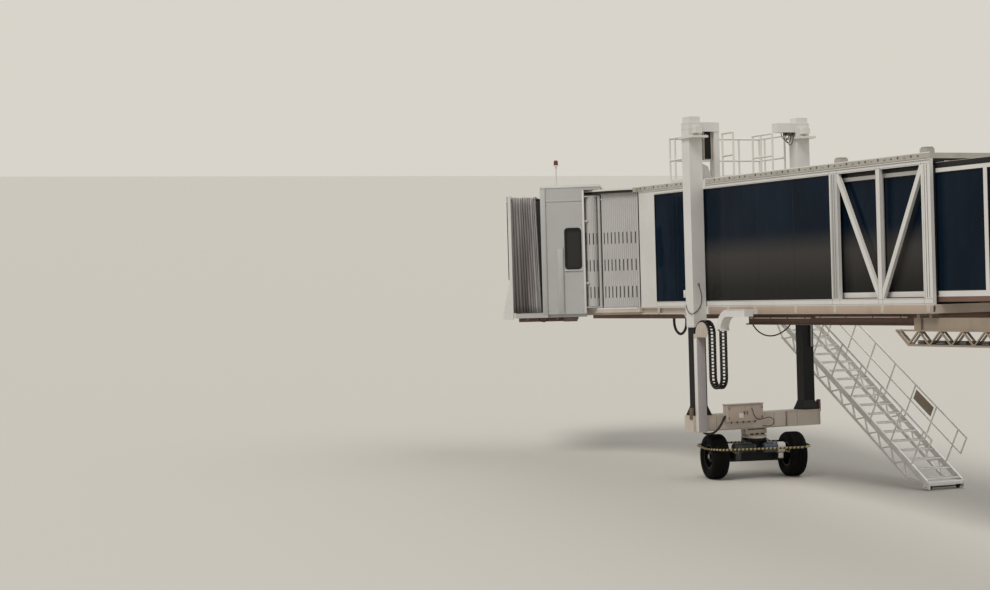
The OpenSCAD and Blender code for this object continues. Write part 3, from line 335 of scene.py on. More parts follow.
def block(bm, x, y, z, edge=0.0, turn=None):
    """A box between two values each way, with its edges broken."""
    ends = [sorted(pair) for pair in (x, y, z)]
    made = bmesh.ops.create_cube(bm, size=1.0)["verts"]
    bmesh.ops.scale(bm, vec=[high - low for low, high in ends], verts=made)
    bmesh.ops.translate(bm, vec=[(low + high) / 2 for low, high in ends], verts=made)
    if turn:
        bmesh.ops.transform(bm, matrix=turn, verts=made)
    if edge:
        sides = list({e for v in made for e in v.link_edges})
        bmesh.ops.bevel(bm, geom=sides, offset=edge, offset_type="OFFSET", affect="EDGES",
                        segments=2, profile=0.5, material=-1)


def rod(bm, a, b, r, sides=10):
    """A round bar from a to b."""
    a, b = Vector(a), Vector(b)
    turn = (b - a).to_track_quat("Z", "Y").to_matrix().to_4x4()
    bmesh.ops.create_cone(bm, cap_ends=True, cap_tris=False, segments=sides, radius1=r, radius2=r,
                          depth=(b - a).length, matrix=Matrix.Translation((a + b) / 2) @ turn)


def ball(bm, place, r):
    """The round end of a tube."""
    bmesh.ops.create_uvsphere(bm, u_segments=10, v_segments=6, radius=r,
                              matrix=Matrix.Translation(place))


def only(kind, geom):
    """The vertices or the edges among what an operator gives back."""
    return [g for g in geom if isinstance(g, kind)]


def pipe(bm, path, r, sides):
    """A tube pushed along a path: a ring that is extruded from point to point."""
    last = len(path) - 1
    heading = [(path[min(i + 1, last)] - path[max(i - 1, 0)]).normalized()
               for i in range(last + 1)]
    turn = heading[0].to_track_quat("Z", "Y").to_matrix().to_4x4()
    ring = bmesh.ops.create_circle(bm, cap_ends=True, segments=sides, radius=r,
                                   matrix=Matrix.Translation(path[0]) @ turn)["verts"]
    edges = list({e for v in ring for e in v.link_edges})
    for i in range(1, last + 1):
        step = heading[i - 1].rotation_difference(heading[i]).to_matrix().to_4x4()
        pushed = bmesh.ops.extrude_edge_only(bm, edges=edges)["geom"]
        edges = only(bmesh.types.BMEdge, pushed)
        move = Matrix.Translation(path[i]) @ step @ Matrix.Translation(-path[i - 1])
        bmesh.ops.transform(bm, matrix=move, verts=only(bmesh.types.BMVert, pushed))
    bmesh.ops.holes_fill(bm, edges=edges, sides=sides)


def section(bm, corners):
    """The closed line through a few corners: its vertices, then its edges."""
    ring = [bm.verts.new(corner) for corner in corners]
    return ring + [bm.edges.new((ring[i - 1], ring[i])) for i in range(len(ring))]


def lathe(bm, outline, count, start=0.0, sweep=2 * pi):
    """A closed outline of (radius, height) spun round Z; a part turn is closed at its ends."""
    whole = sweep == 2 * pi
    first = section(bm, [(r * cos(start), r * sin(start), h) for r, h in outline])
    bmesh.ops.spin(bm, geom=first, cent=(0, 0, 0), axis=(0, 0, 1), dvec=(0, 0, 0), angle=sweep,
                   steps=count, use_merge=whole)
    if not whole:
        bmesh.ops.holes_fill(bm, edges=[e for e in bm.edges if e.is_boundary], sides=len(outline))


def push(bm, faces, vec):
    """Flat faces pushed out into a solid."""
    made = bmesh.ops.extrude_face_region(bm, geom=faces)["geom"]
    bmesh.ops.translate(bm, vec=vec, verts=only(bmesh.types.BMVert, made))


def shaped_grid(bm, columns, rows, spot):
    """A grid whose corners lie where spot(column, row) says."""
    grid = bmesh.ops.create_grid(bm, x_segments=columns, y_segments=rows, size=1.0)["verts"]
    for v in grid:
        v.co = spot(round((v.co.x + 1) / 2 * columns), round((v.co.y + 1) / 2 * rows))
    return grid


def bend(points):
    """A smooth line through the points, with four steps between each two."""
    points = [Vector(p) for p in points]
    line = []
    for i in range(len(points) - 1):
        a, b = points[max(i - 1, 0)], points[i]
        c, d = points[i + 1], points[min(i + 2, len(points) - 1)]
        for t in (0, 0.25, 0.5, 0.75):
            line.append(0.5 * (2 * b + (c - a) * t + (2 * a - 5 * b + 4 * c - d) * t * t
                               + (3 * b - a - 3 * c + d) * t ** 3))
    return line + [points[-1]]


def span(line):
    """The length of a line of points."""
    return sum((line[i + 1] - line[i]).length for i in range(len(line) - 1))


def steps(start, stop, count):
    """Equal steps from start to stop, with both."""
    return [start + (stop - start) * i / (count - 1) for i in range(count)]


def piece(name, bm, finish, body, place=None, sharp=35):
    """Makes the object: placed in the row frame, faces outwards, riding on its body."""
    bmesh.ops.transform(bm, matrix=home[body] if place is None else place, verts=bm.verts)
    bmesh.ops.recalc_face_normals(bm, faces=bm.faces)
    mesh = bpy.data.meshes.new(name)
    bm.to_mesh(mesh)
    bm.free()
    mesh.polygons.foreach_set("use_smooth", [True] * len(mesh.polygons))
    mesh.set_sharp_from_angle(angle=radians(sharp))
    made = bpy.data.objects.new(name, mesh)
    bpy.context.scene.collection.objects.link(made)
    finish = finish if isinstance(finish, list) else [finish]
    for one in finish:
        mesh.materials.append(one)
    if body:
        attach(made, body)
    return made


def fitting(name, finish, body, boxes, rods=(), sides=(1,), middle=(), place=None):
    """Boxes (x, y, z, edge) and round bars (a, b, radius, sides) as one piece. They are drawn
    on each of the sides, 1 as given and -1 mirrored in y, and the middle boxes once."""
    bm = bmesh.new()
    for side in sides:
        for x, y, z, edge in boxes:
            block(bm, x, [side * v for v in y], z, edge)
        for a, b, r, count in rods:
            rod(bm, *((x, side * y, z) for x, y, z in (a, b)), r, count)
    for box in middle:
        block(bm, *box)
    return piece(name, bm, finish, body, place)


# Hoses and cables fixed at both ends, hanging between their glands

def hung_cord(name, route, r, body, node=None):
    """A cord on its route in metres; node is the part's own solid on the same route."""
    line = [home[body] @ point for point in bend(route)]
    bm = bmesh.new()
    pipe(bm, line, r, 12 if node else 10)
    made = piece(name, bm, cable_rubber, body, LEVEL)
    if node:
        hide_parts(node)
    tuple(line[0])


hung_cord("hose_loop_sheath", [
    (s, 1.02, n) for s, n in (
        (1.90, -0.1103), (1.90, -0.15), (1.90, -0.19), (1.88, -0.29), (1.82, -0.39),
        (1.72, -0.46), (1.60, -0.49), (1.48, -0.46), (1.38, -0.39), (1.32, -0.29),
        (1.30, -0.19), (1.30, -0.15), (1.30, -0.1103))],
    0.032, "outer_tunnel", "hose_loop")
hung_cord("cable_loop_sheath", [
    (-0.12, y, n) for y, n in (
        (0.1, 0.1397), (0.1, 0.08), (0.1, 0.02), (0.092, -0.09), (0.06, -0.20), (0, -0.32),
        (-0.11, -0.44), (-0.26, -0.53), (-0.43, -0.57), (-0.60, -0.56), (-0.78, -0.50),
        (-0.94, -0.40), (-1.06, -0.29), (-1.15, -0.215), (-1.21, -0.20), (-1.27, -0.20),
        (-1.3267, -0.20))], 0.016, "outer_tunnel", "cable_loop")
hung_cord("duct_hose", [
    (-0.27, 1.585, -2.72), (-0.285, 1.56, -2.765), (-0.30, 1.50, -2.80), (-0.31, 1.40, -2.81),
    (-0.31, 1.29, -2.785), (-0.31, 1.19, -2.72), (-0.31, 1.11, -2.63), (-0.31, 1.05, -2.54),
    (-0.30, 1.0, -2.46), (-0.30, 0.962, -2.42)], 0.028, "carriage")
hung_cord("cabinet_cable", [
    (-0.413, 0.30, -2.25), (-0.45, 0.30, -2.30), (-0.46, 0.28, -2.40), (-0.46, 0.21, -2.49),
    (-0.45, 0.10, -2.53), (-0.45, -0.04, -2.50), (-0.44, -0.18, -2.49), (-0.42, -0.29, -2.55),
    (-0.38, -0.32, -2.64), (-0.32, -0.27, -2.70), (-0.26, -0.19, -2.71), (-0.2022, -0.12, -2.70)],
    0.009, "carriage")
hung_cord("column_conduit", [
    (-0.1835, 1.53, 0.72), (-0.1835, 1.475, 0.55), (-0.1835, 1.45, 0.38), (-0.1835, 1.49, 0.20),
    (-0.1835, 1.58, 0.09), (-0.1835, 1.655, 0.04), (-0.15, 1.688, 0.02), (-0.08, 1.69, 0.02),
    (0.02, 1.69, 0.05), (0.12, 1.69, 0.16), (0.20, 1.65, 0.30), (0.21, 1.64, 0.40)],
    0.008, "outer_tunnel")
for k, drop in enumerate((0.30, 0.24, 0.17)):
    s, y = 0.05 * k, 0.03 * k
    hung_cord("arm_cable_" + "abc"[k], [
        (s - 0.10, y - 1.26, 4.308), (s - 0.13, y - 1.24, 4.30 - drop * 0.6),
        (s - 0.11, y - 1.17, 4.30 - drop), (s - 0.08, y - 1.09, 4.30 - drop * 0.6),
        (s - 0.07, y - 1.07, 4.308)], 0.009, "outer_tunnel")
for side, hand in SIDES:
    hung_cord("motor_cable_" + hand, [
        (-0.3, side * 0.27, 0.865), (-0.29, side * 0.25, 0.925), (-0.24, side * 0.17, 0.955),
        (-0.19, side * 0.1, 0.90), (-0.171, side * 0.08, 0.85)], 0.012, "bogie")
for k, (t, y) in enumerate(((2.12, 1.25), (2.75, 1.30))):
    hung_cord("cab_cable_" + "ab"[k], [
        (t, y, -0.031), (t + 0.01, y, -0.08), (t + 0.08, y, -0.13), (t + 0.17, y, -0.12),
        (t + 0.22, y, -0.07), (t + 0.225, y, -0.031)], 0.011, "cab")


# Wind-up slat curtains: hinged slats with three rows of vents

VENT_ROWS = [(0.43, 0.72), (1.11, 1.40), (1.79, 2.08)]
VENT_EDGES = [edge for row in VENT_ROWS for edge in row]
SLAT_PITCH = 0.056


def in_vent_row(height):
    """Whether a height lies in one of the rows of vents."""
    return any(low < height < high for low, high in VENT_ROWS)


def slat_wall(name, r, start, end, z, vented, place, node=None):
    """Slats standing on an arc from start to end in degrees, each a shallow rib."""
    count = round(radians(abs(end - start)) * r / SLAT_PITCH)
    heights = sorted([z[0], z[0] + 0.045, z[1] - 0.045, z[1]] + (VENT_EDGES if vented else []))
    across = [0, 0.12, 0.28, 0.5, 0.72, 0.88, 1]

    def on_arc(out, share, height):
        """A point at a share of the way from start to end."""
        turn = radians(start + (end - start) * share)
        return Vector((out * cos(turn), out * sin(turn), height))

    def slat(i, j):
        u = across[i]
        if 0 < i < 6:
            return on_arc(r + 0.003 + 0.004 * sin(pi * u), (k + u) / count, heights[j])
        return on_arc(r - 0.006, (k + u) / count, min(max(heights[j], z[0] + 0.05), z[1] - 0.05))

    bm = bmesh.new()
    for k in range(count):
        grid = shaped_grid(bm, 6, len(heights) - 1, slat)
        if vented and k % 2:
            holes = []
            for f in {f for v in grid for f in v.link_faces}:
                mid = f.calc_center_median()
                turn = (degrees(atan2(mid.y, mid.x)) - start) % 360
                if 0.26 < turn / (end - start) * count - k < 0.74 and in_vent_row(mid.z):
                    holes.append(f)
            bmesh.ops.delete(bm, geom=holes, context="FACES_ONLY")
    bmesh.ops.remove_doubles(bm, verts=bm.verts, dist=0.0002)
    made = piece(name, bm, slat_metal, None, place, sharp=25)
    if node:
        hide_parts(node)
    # A dark cloth behind the slats
    bm = bmesh.new()
    shaped_grid(bm, 24, 1, lambda i, j: on_arc(r - 0.02, i / 24, z[j] + (-0.003 if j else 0.003)))
    lining = piece(name + "_lining", bm, seal_rubber, None, place)
    for part in (made, lining):
        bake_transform(part)


slat_wall("curtain_left_slats", 1.995, 108.9, 139.1, (0.182, 3.058), True,
          HEAD, "curtain_left")
slat_wall("curtain_right_slats", 1.995, -139.1, 11.1, (0.182, 3.058), True,
          HEAD, "curtain_right")
slat_wall("lobby_slats_left", 1.75, 43, 137, (0.002, 2.718), False,
          LOBBY, "lobby_curtains")
slat_wall("lobby_slats_right", 1.75, 223, 317, (0.002, 2.718), False,
          LOBBY)


def curtain_drum(side, hand):
    """A fluted drum of wound slats with dark vents, and its guide post with brackets."""
    flutes = 20
    heights = [0.228] + VENT_EDGES + [3.028]

    def spot(i, j):
        turn = 2 * pi * i / (flutes * 4)
        out = 0.160 if i % 4 else 0.154
        return 1.56 + out * cos(turn), side * 1.29 + out * sin(turn), heights[j]

    bm = bmesh.new()
    shaped_grid(bm, flutes * 4, len(heights) - 1, spot)
    bmesh.ops.remove_doubles(bm, verts=bm.verts, dist=0.0002)
    vents = []
    for f in bm.faces:
        mid = f.calc_center_median()
        flute = atan2(mid.y - side * 1.29, mid.x - 1.56) / (2 * pi) * flutes
        if in_vent_row(mid.z) and 0.25 < flute % 1 < 0.75 and int(flute // 1) % 2:
            vents.append(f)
            f.material_index = 1
    bmesh.ops.inset_region(bm, faces=vents, thickness=0.003, depth=-0.004)
    bmesh.ops.holes_fill(bm, edges=[e for e in bm.edges if e.is_boundary], sides=0)
    piece("drum_slats_" + hand, bm, [slat_metal, seal_rubber], "cab", sharp=25)
    bm = bmesh.new()
    for low, high, r in ((0.187, 3.028, 0.038), (0.5, 0.53, 0.0398), (1.5, 1.53, 0.0398),
                         (2.6, 2.63, 0.0398)):
        rod(bm, (1.3703, side * 1.45, low), (1.3703, side * 1.45, high), r, 20)
    for n in (0.19, 3.0):
        block(bm, (1.37, 1.749), (side * 1.391, side * 1.449), (n, n + 0.028), 0.003)
    for n in (0.79, 2.36):
        block(bm, (1.66, 1.749), (side * 1.391, side * 1.43), (n, n + 0.06), 0.003)
    return piece("curtain_guide_" + hand, bm, cab_paint, "cab")


guide = curtain_drum(1, "left")
curtain_drum(-1, "right")
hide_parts("curtain_drums")


# Pleated skins of coated fabric, each a grid that is folded across a joint

def skin(name, bm, place):
    """The skin's piece, 3 mm thick, and its flat area."""
    area = sum(f.calc_area() for f in bm.faces)
    made = piece(name, bm, bellows_fabric, None, place, sharp=80)
    shell = made.modifiers.new("cloth_thickness", "SOLIDIFY")
    shell.thickness = 0.003
    shell.offset = -1
    return made, area


def hoop(wall, roof):
    """An outline up the left wall, along the roof and down the right wall."""
    return wall + roof + [(-y, n) for y, n in reversed(wall)]


def canopy_skin():
    """Uneven pleats from the cab's front wall to the canopy's frame, sagging at the top."""
    half, top, foot, corner = 1.33, 3.01, 0.105, 0.16
    wall = [(-half, n) for n in steps(foot, top - corner, 15)]
    wall += [(-half + corner * (1 - cos(a)), top - corner + corner * sin(a))
             for a in (radians(22.5), radians(45), radians(67.5))]
    ring = hoop(wall, [(y, top) for y in steps(corner - half, half - corner, 21)])
    pleats, folds = 11, 6
    widths = [1 + 0.9 * noise.noise(Vector((k * 1.7, 3.1, 0))) for k in range(pleats)]
    edges = [sum(widths[:k]) / sum(widths) for k in range(pleats + 1)]

    def spot(i, j):
        w, n = ring[i]
        fold = (1 - cos(2 * pi * j / folds)) / 2
        pleat = min(j // folds, pleats - 1)
        share = edges[pleat] + (edges[pleat + 1] - edges[pleat]) * (j / folds - pleat)
        low = 1 - min(1, (n - foot) / (top - foot))
        wobble = 0.012 * noise.noise(Vector((w * 1.3, n * 1.7, share * 9))) * sin(pi * share)
        lean = -0.24 * low * share * (1 - share)
        t = 2.976 - 0.075 * low + (0.635 + 0.075 * low) * share + lean + wobble
        plump = 0.8 + 0.2 * noise.noise(Vector((pleat * 2.3, n * 0.9, 1.0)))
        sag = 0
        if abs(w) >= half - 0.001:
            normal = Vector((copysign(1, w), 0))
        elif n >= top - 0.001:
            normal = Vector((0, 1))
            sag = 0.02 * sin(pi * (w / half + 1) / 2) * (1 - fold)
        else:
            normal = Vector((w - copysign(half - corner, w), n - (top - corner))).normalized()
        out = normal * (0.066 * plump * fold ** 0.7 - 0.004)
        return t, w + out.x, n + out.y - sag

    bm = bmesh.new()
    shaped_grid(bm, len(ring) - 1, pleats * folds, spot)
    return skin("canopy_pleats", bm, CAB)


canopy, canopy_area = canopy_skin()
# Black inner lining seen between the first pleat and the cab's front wall
fitting("canopy_lining", seal_rubber, "cab",
        [((2.8605, 3.04), (1.285, 1.318), (0.11, 2.94), 0.002)], (), BOTH,
        [((2.8605, 3.04), (-1.318, 1.318), (2.965, 2.995), 0.002)])
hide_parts("canopy_bellows")
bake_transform(canopy)


def hinge_skin():
    """Even pleats between the lobby's swing frame and the inner tunnel."""
    ring = hoop([(-1.11, n) for n in steps(0.35, 2.78, 9)],
                [(y, 2.86) for y in steps(-1.11, 1.11, 13)])
    pleats, folds = 6, 4

    def spot(i, j):
        y, n = ring[i]
        near = Vector((1.952, y, HINGE.z + n))
        far = TUNNEL @ Vector((0.298, y, n))
        made = near.lerp(far, j / (pleats * folds))
        push_out = 0.034 * (1 - cos(2 * pi * j / folds)) / 2 - 0.034
        if abs(y) > 1.109 and n < 2.8:
            made.y += copysign(push_out, y)
        else:
            made.z += push_out
        return made

    bm = bmesh.new()
    shaped_grid(bm, len(ring) - 1, pleats * folds, spot)
    return skin("hinge_pleats", bm, LEVEL)


hinge, hinge_area = hinge_skin()
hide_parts("hinge_bellows")
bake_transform(hinge)


# Energy chain: ladder-like links from the trough down, round, up and over into the duct

def lift_chain():
    """Open links at equal steps along the chain's line."""
    arc = [pi * i / 12 for i in range(1, 12)]
    line = [Vector((s, 0, n)) for s, n in
            [(-1.354, n) for n in steps(-0.342, -1.453, 15)]
            + [(-1.107 - 0.247 * cos(a), -1.453 - 0.247 * sin(a)) for a in arc]
            + [(-0.86, n) for n in steps(-1.453, -0.449, 14)]
            + [(-0.566 - 0.294 * cos(a), -0.449 + 0.294 * sin(a)) for a in arc + [pi]]]
    links = round(span(line) / 0.078)
    pitch = span(line) / links

    def at(d):
        for a, b in zip(line, line[1:]):
            step = (b - a).length
            if d <= step or b is line[-1]:
                return a.lerp(b, d / step), (b - a).normalized()
            d -= step

    bm = bmesh.new()
    ends = ((0.001 - pitch / 2, 0.014 - pitch / 2), (pitch / 2 - 0.014, pitch / 2 - 0.001))
    across = Vector((0, 1, 0))
    for k in range(links):
        middle, head = at(pitch * (k + 0.5))
        turn = Matrix((across, head.cross(across), head)).transposed().to_4x4()
        place = Matrix.Translation(middle + 1.60 * across) @ turn
        for side in BOTH:
            block(bm, (side * 0.042, side * 0.093), (-0.026, 0.026), (ends[0][0], ends[1][1]),
                  0.006, place)
            block(bm, (side * 0.058, side * 0.078), (-0.031, 0.031), (-0.018, 0.018), 0.004,
                  place)
        for end in ends:
            block(bm, (-0.044, 0.044), (-0.022, 0.022), end, 0.003, place)
    made = piece("lift_chain_links", bm, cable_rubber, None, OUTER)
    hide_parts("lift_chain")
    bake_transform(made)


lift_chain()


# Railings, landing and roof, as round tubes on the part's lines

def rail_run(bm, x, y, z, posts, across=False):
    """Top rail, knee rail, toe board and posts along x, or along y when it stands across."""
    def p(a, h):
        return (y, a, z + h) if across else (a, y, z + h)

    ends = (x[0] + 0.02, x[1] - 0.02)
    for h in (1.09, 0.56):
        rod(bm, p(ends[0], h), p(ends[1], h), 0.0245)
    for post in posts:
        rod(bm, p(post + 0.02, 0.0), p(post + 0.02, 1.088), 0.0235)
        rod(bm, p(post + 0.02, 0.0), p(post + 0.02, 0.012), 0.038)
    for end in ends:
        ball(bm, p(end, 1.09), 0.0245)
    board = (y - 0.004, y + 0.004)
    block(bm, board if across else x, x if across else board, (z + 0.01, z + 0.1), 0.001)


bm = bmesh.new()
for side in BOTH:
    rail_run(bm, (0.273, 1.46), side * 1.27, 3.17, (0.273, 1.17, 1.42))
rail_run(bm, (-1.29, 1.29), 1.44, 3.17, (-0.70, 0.0, 0.66), True)
rail_run(bm, (-0.64, -0.11), 0.74, 3.17, (-0.64, -0.15))
rail_run(bm, (-0.36, 0.56), -0.52, 3.17, (-0.36, 0.16, 0.52))
roof_tubes = piece("roof_rail_tubes", bm, white_paint, "outer_tunnel")
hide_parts("roof_rails")

bm = bmesh.new()
rail_run(bm, (1.90, 3.04), -2.45, 0.18, (1.90, 2.47, 3.0))
rail_run(bm, (-2.43, -1.32), 1.92, 0.18, (-1.9,), True)
rail_run(bm, (-3.50, -2.20), 4.08, 0.18, (-3.5, -2.85, -2.24), True)
rail_run(bm, (3.14, 4.06), -3.50, 0.18, (3.14, 3.6))
landing_tubes = piece("landing_rail_tubes", bm, stair_metal, "outer_tunnel")
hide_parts("landing_rails")


# Stair: open treads of two bars with short cross pieces, tube rails on upright posts

bm = bmesh.new()
for k in range(1, 21):
    x = COLUMN_X - 3.56 + (k - 0.6) * STAIR_RUN / 20
    z = 0.24 + (k - 0.6) * STAIR_RISE / 20
    for a, b in ((-0.115, -0.078), (0.078, 0.115)):
        block(bm, (x + a, x + b), (-3.48, -2.53), (z - 0.09, z - 0.055), 0.003)
    for i in range(12):
        y = -3.44 + i * 0.0795
        block(bm, (x - 0.08, x + 0.08), (y - 0.004, y + 0.004), (z - 0.082, z - 0.058))
    block(bm, (x - 0.008, x + 0.008), (-3.48, -2.53), (z - 0.08, z - 0.06))
treads = piece("stair_open_treads", bm, stair_metal, "stair", LEVEL)
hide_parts("stair_treads")

bm = bmesh.new()
for y in STRINGERS:
    for h, r in ((0.92, 0.026), (0.48, 0.021)):
        rod(bm, (0.265, y, h), (STAIR_LEN - 0.15, y, h), r)
    rod(bm, (0.268, y, 0.47), (0.268, y, 0.92), 0.021)
    ball(bm, (0.268, y, 0.92), 0.026)
    for k in range(8):
        x = 0.617 + k * 0.93
        rod(bm, (x, y, 0.0), (x, y, 0.92), 0.0205)
stair_tubes = piece("stair_rail_tubes", bm, stair_metal, "stair")
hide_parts("stair_rails")


# Solid tyres with a worn groove and a ribbed side wall, their hubs' studs and rims' ribs

side_wall = [(0.291, 0.16), (0.375, 0.196), (0.384, 0.204), (0.396, 0.198), (0.440, 0.209),
             (0.498, 0.186), (0.522, 0.150), (0.530, 0.118), (0.530, 0.052), (0.519, 0.047),
             (0.519, 0.035), (0.530, 0.030)]
tyre_outline = [(r, -h) for r, h in side_wall] + side_wall[::-1]
wheel_ring = [radians(a) for a in range(0, 360, 36)]
for side, hand in SIDES:
    body, place = "wheel_" + hand, BOGIE @ Matrix.Translation((0, side * 0.99, 0.53))
    bm = bmesh.new()
    lathe(bm, tyre_outline, 72)
    made = piece("tyre_" + hand + "_tread", bm, tyre_rubber, body,
                 place @ Matrix.Rotation(radians(90), 4, "X"), sharp=50)
    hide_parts("tyre_" + hand)
    fitting("hub_studs_" + hand, zinc_metal, body, (),
            [((0.2 * cos(a), 0.0202, 0.2 * sin(a)), (0.2 * cos(a), 0.045, 0.2 * sin(a)), 0.015, 6)
             for a in wheel_ring] + [((0, 0.1503, 0), (0, 0.158, 0), 0.058, 24)],
            (side,), (), place)
    fitting("rim_ribs_" + hand, black_steel, body, (),
            [((0.165 * cos(a), 0.03, 0.165 * sin(a)), (0.245 * cos(a), 0.03, 0.245 * sin(a)),
              0.0095, 8) for a in [t + radians(18) for t in wheel_ring]], (side,), (), place)


# Outer tunnel: seals, joints, clips and clamps, each a hair off the wall or the roof below it
WALL, ROOF, PANES = 1.3002, 3.1702, (0.32, 2.95)
seals, lines, clips = [], [], []
for a, b in ((-5.359, -0.121), (0.121, 2.239)):
    seals += [((a, b), (1.283, 1.2985), n, 0.002) for n in ((0.311, 0.334), (2.926, 2.949))]
    seals += [((e, e + 0.021), (1.283, 1.298), (0.335, 2.925), 0.002) for e in (a, b - 0.021)]
# Drip rails under the roof's edge and over it, and the dark line between them, partly their joint
# and partly painted shadow under the roof's edge
trims = [((-8.85, 3.02), (WALL, 1.316), (3.040, 3.058), 0.003),
         ((-8.85, 3.02), (1.286, 1.299), (ROOF, 3.192), 0.003)]
# The dark line under the roof's edge: a joint, darkened as painted shadow
lines.append(((-8.84, 3.01), (WALL, 1.305), (3.060, 3.068), 0.001))
for k, s in enumerate(steps(-8.5, 2.9, 52)):
    clips.append(((s, s + 0.05), (1.235, 1.285), (ROOF, 3.188), 0.004))
    lines.append(((s, s + 0.045), (WALL, 1.307), (3.115, 3.145 + 0.02 * sin(k * 2.4)), 0.002))
# Rails' cover strips with a joint at each post
lines += [((-8.84, 2.2), (WALL, 1.3026), (n, n + 0.004), 0.0005)
          for n in (0.196, 0.292, 2.966, 3.022)]
lines += [((s + 0.001, s + 0.005), (WALL, 1.3022), (0.20, 3.03), 0.0005)
          for s in (-8.86, -8.56, -7.17, -7.03, -5.64, -5.36, -0.124, 0.12, 2.236)]
# Posts: raised lip on the cab side, two grooves
posts = ((-5.64, 0.28), (-0.124, 0.244), (-8.86, 0.30))
for s, wide in posts:
    trims.append(((s + wide - 0.045, s + wide - 0.008), (WALL, 1.314), PANES, 0.003))
    lines += [((s + wide * g, s + wide * g + 0.014), (WALL, 1.3022), PANES, 0.0005)
              for g in (0.36, 0.62)]
clamps = (-8.74, -7.2, -5.5, -4.0, -2.32, -1.18, 0.75, 2.1)
fitting("outer_pane_seals", seal_rubber, "outer_tunnel", seals, (), BOTH)
fitting("outer_pane_joints", seal_rubber, "outer_tunnel",
        [((s + 0.001, s + 0.011), (1.270, 1.2835), (0.312, 2.948), 0.001)
         for s in (-3.91, -2.46, -1.01, 1.18)], (), BOTH)
fitting("post_covers", cab_paint, "outer_tunnel",
        [((s + 0.03, s + wide - 0.05), (WALL, 1.3018), PANES, 0.0005) for s, wide in posts[:2]],
        (), BOTH)
fitting("roof_drip_rails", white_paint, "outer_tunnel", trims, (), BOTH)
fitting("frame_joint_and_shadow_lines", fitting_metal, "outer_tunnel", lines, (), BOTH)
fitting("roof_edge_clips", zinc_metal, "outer_tunnel", clips, (), BOTH)
# The covers' warm tone is partly painted bounce light from the ground
fitting("channel_covers", channel_paint_and_bounce, "outer_tunnel",
        [((-8.85, 0.58), (WALL, 1.3032), (0.012, 0.166), 0.001)], (), BOTH)
fitting("channel_clamps", grey_paint, "outer_tunnel",
        [((s, s + 0.10), (WALL, 1.309), (0.012, 0.168), 0.003) for s in clamps],
        [((s + 0.05, 1.309, n), (s + 0.05, 1.318, n), 0.011, 6) for s in clamps
         for n in (0.045, 0.135)], BOTH)

# Standing seams on the two roofs
fitting("outer_roof_seams", roof_paint, "outer_tunnel",
        [((s, s + 0.03), (-1.22, 1.22), (ROOF, 3.19), 0.005) for s in steps(-8.2, 2.7, 10)])
fitting("inner_roof_seams", roof_paint, "inner_tunnel",
        [((a, a + 0.03), (-1.12, 1.12), (2.9802, 2.996), 0.005) for a in steps(0.5, 6.6, 7)])

# Inner tunnel: pane seals, and a dark strip of painted shadow high along each side
BAY = 1.663
seals = []
for k in range(7):
    a, b = 0.411 + BAY * k, 0.299 + BAY * (k + 1)
    seals += [((a, b), (1.128, 1.144), z, 0.002) for z in ((0.441, 0.46), (2.76, 2.779))]
    seals += [((e, e + 0.017), (1.128, 1.143), (0.461, 2.759), 0.002) for e in (a, b - 0.017)]
# Dark strip high along each side: painted shadow under the outer tunnel's edge
seals.append(((0.32, 11.9), (1.1502, 1.1522), (2.862, 2.972), 0.0005))
fitting("inner_pane_seals_and_shadow_strip", seal_rubber, "inner_tunnel", seals, (), BOTH)

# Rubber lip that closes the gap between the two tunnels at the back end
fitting("telescope_seal", seal_rubber, "outer_tunnel",
        [((-8.85, -8.80), (1.165, 1.225), (0.35, 2.93), 0.004)], (), BOTH,
        [((-8.85, -8.80), (-1.225, 1.225), (2.995, 3.055), 0.004)])

# Conduits along the red-brown beams with saddle clamps
bars, saddles = [], []
for s0, s1, n in ((-7.7, -4.4, -0.075), (-4.2, -1.7, -0.095)):
    bars.append(((s0, 1.083, n), (s1, 1.083, n), 0.017, 10))
    saddles += [((s, s + 0.03), (1.0602, 1.104), (n - 0.021, n + 0.021), 0.004)
                for s in steps(s0 + 0.2, s1 - 0.2, 4)]
fitting("beam_conduits", grey_paint, "outer_tunnel", (), bars, BOTH)
fitting("conduit_saddles", fitting_metal, "outer_tunnel", saddles, (), BOTH)
fitting("beam_flanges", fitting_metal, "outer_tunnel",
        [((-8.0, -1.5), (1.0602, 1.075), (-0.249, -0.232), 0.003)], (), BOTH)

# Lift columns: clamp ring, collar bolts, cap joints, small box and its conduit's clips
FRONT = -0.1733
fitting("column_bands", white_paint, "outer_tunnel",
        [((-0.1765, 0.1765), (1.3235, 1.6765), (a, b), edge)
         for a, b, edge in ((4.37, 4.378, 0.001), (4.50, 4.508, 0.001), (-0.27, -0.235, 0.004))],
        [((s, y, 4.2), (s, y, 4.216), 0.016, 6) for s in (-0.36, 0.21) for y in (1.67, 1.33)],
        BOTH)
fitting("column_side_box", white_paint, "outer_tunnel",
        [((-FRONT, 0.25), (1.60, 1.69), (0.40, 0.58), 0.006),
         ((0.185, 0.24), (1.69, 1.695), (0.42, 0.56), 0.002)])
fitting("conduit_clips", zinc_metal, "outer_tunnel",
        [((-0.1925, FRONT), (1.50, 1.56), (0.69, 0.74), 0.003),
         ((-0.1925, FRONT), (1.56, 1.60), (0.07, 0.11), 0.003)])

# Screen between the near column and its post: a pale frame round a dark panel of painted shade
fitting("screen_frame", grey_paint, "outer_tunnel",
        [((-0.074, 0.074), y, n, 0.002)
         for y, n in (((1.004, 1.022), (3.645, 4.31)), ((1.198, 1.216), (3.645, 4.31)),
                      ((1.022, 1.198), (3.645, 3.664)))])

# Junction boxes under the columns' arms
fitting("arm_boxes", fitting_metal, "outer_tunnel",
        [((-0.09, 0.09), (-1.32, -1.10), (4.245, 4.3095), 0.006),
         ((-0.06, 0.06), (1.10, 1.20), (4.245, 4.3095), 0.006)])

# Rounded lids of the two boxes on the roof
fitting("roof_box_lids", roof_paint, "outer_tunnel",
        [((s, s + 0.19), (1.09, 1.27), (3.2702, 3.305), 0.015) for s in (-8.715, -5.745)],
        (), BOTH)

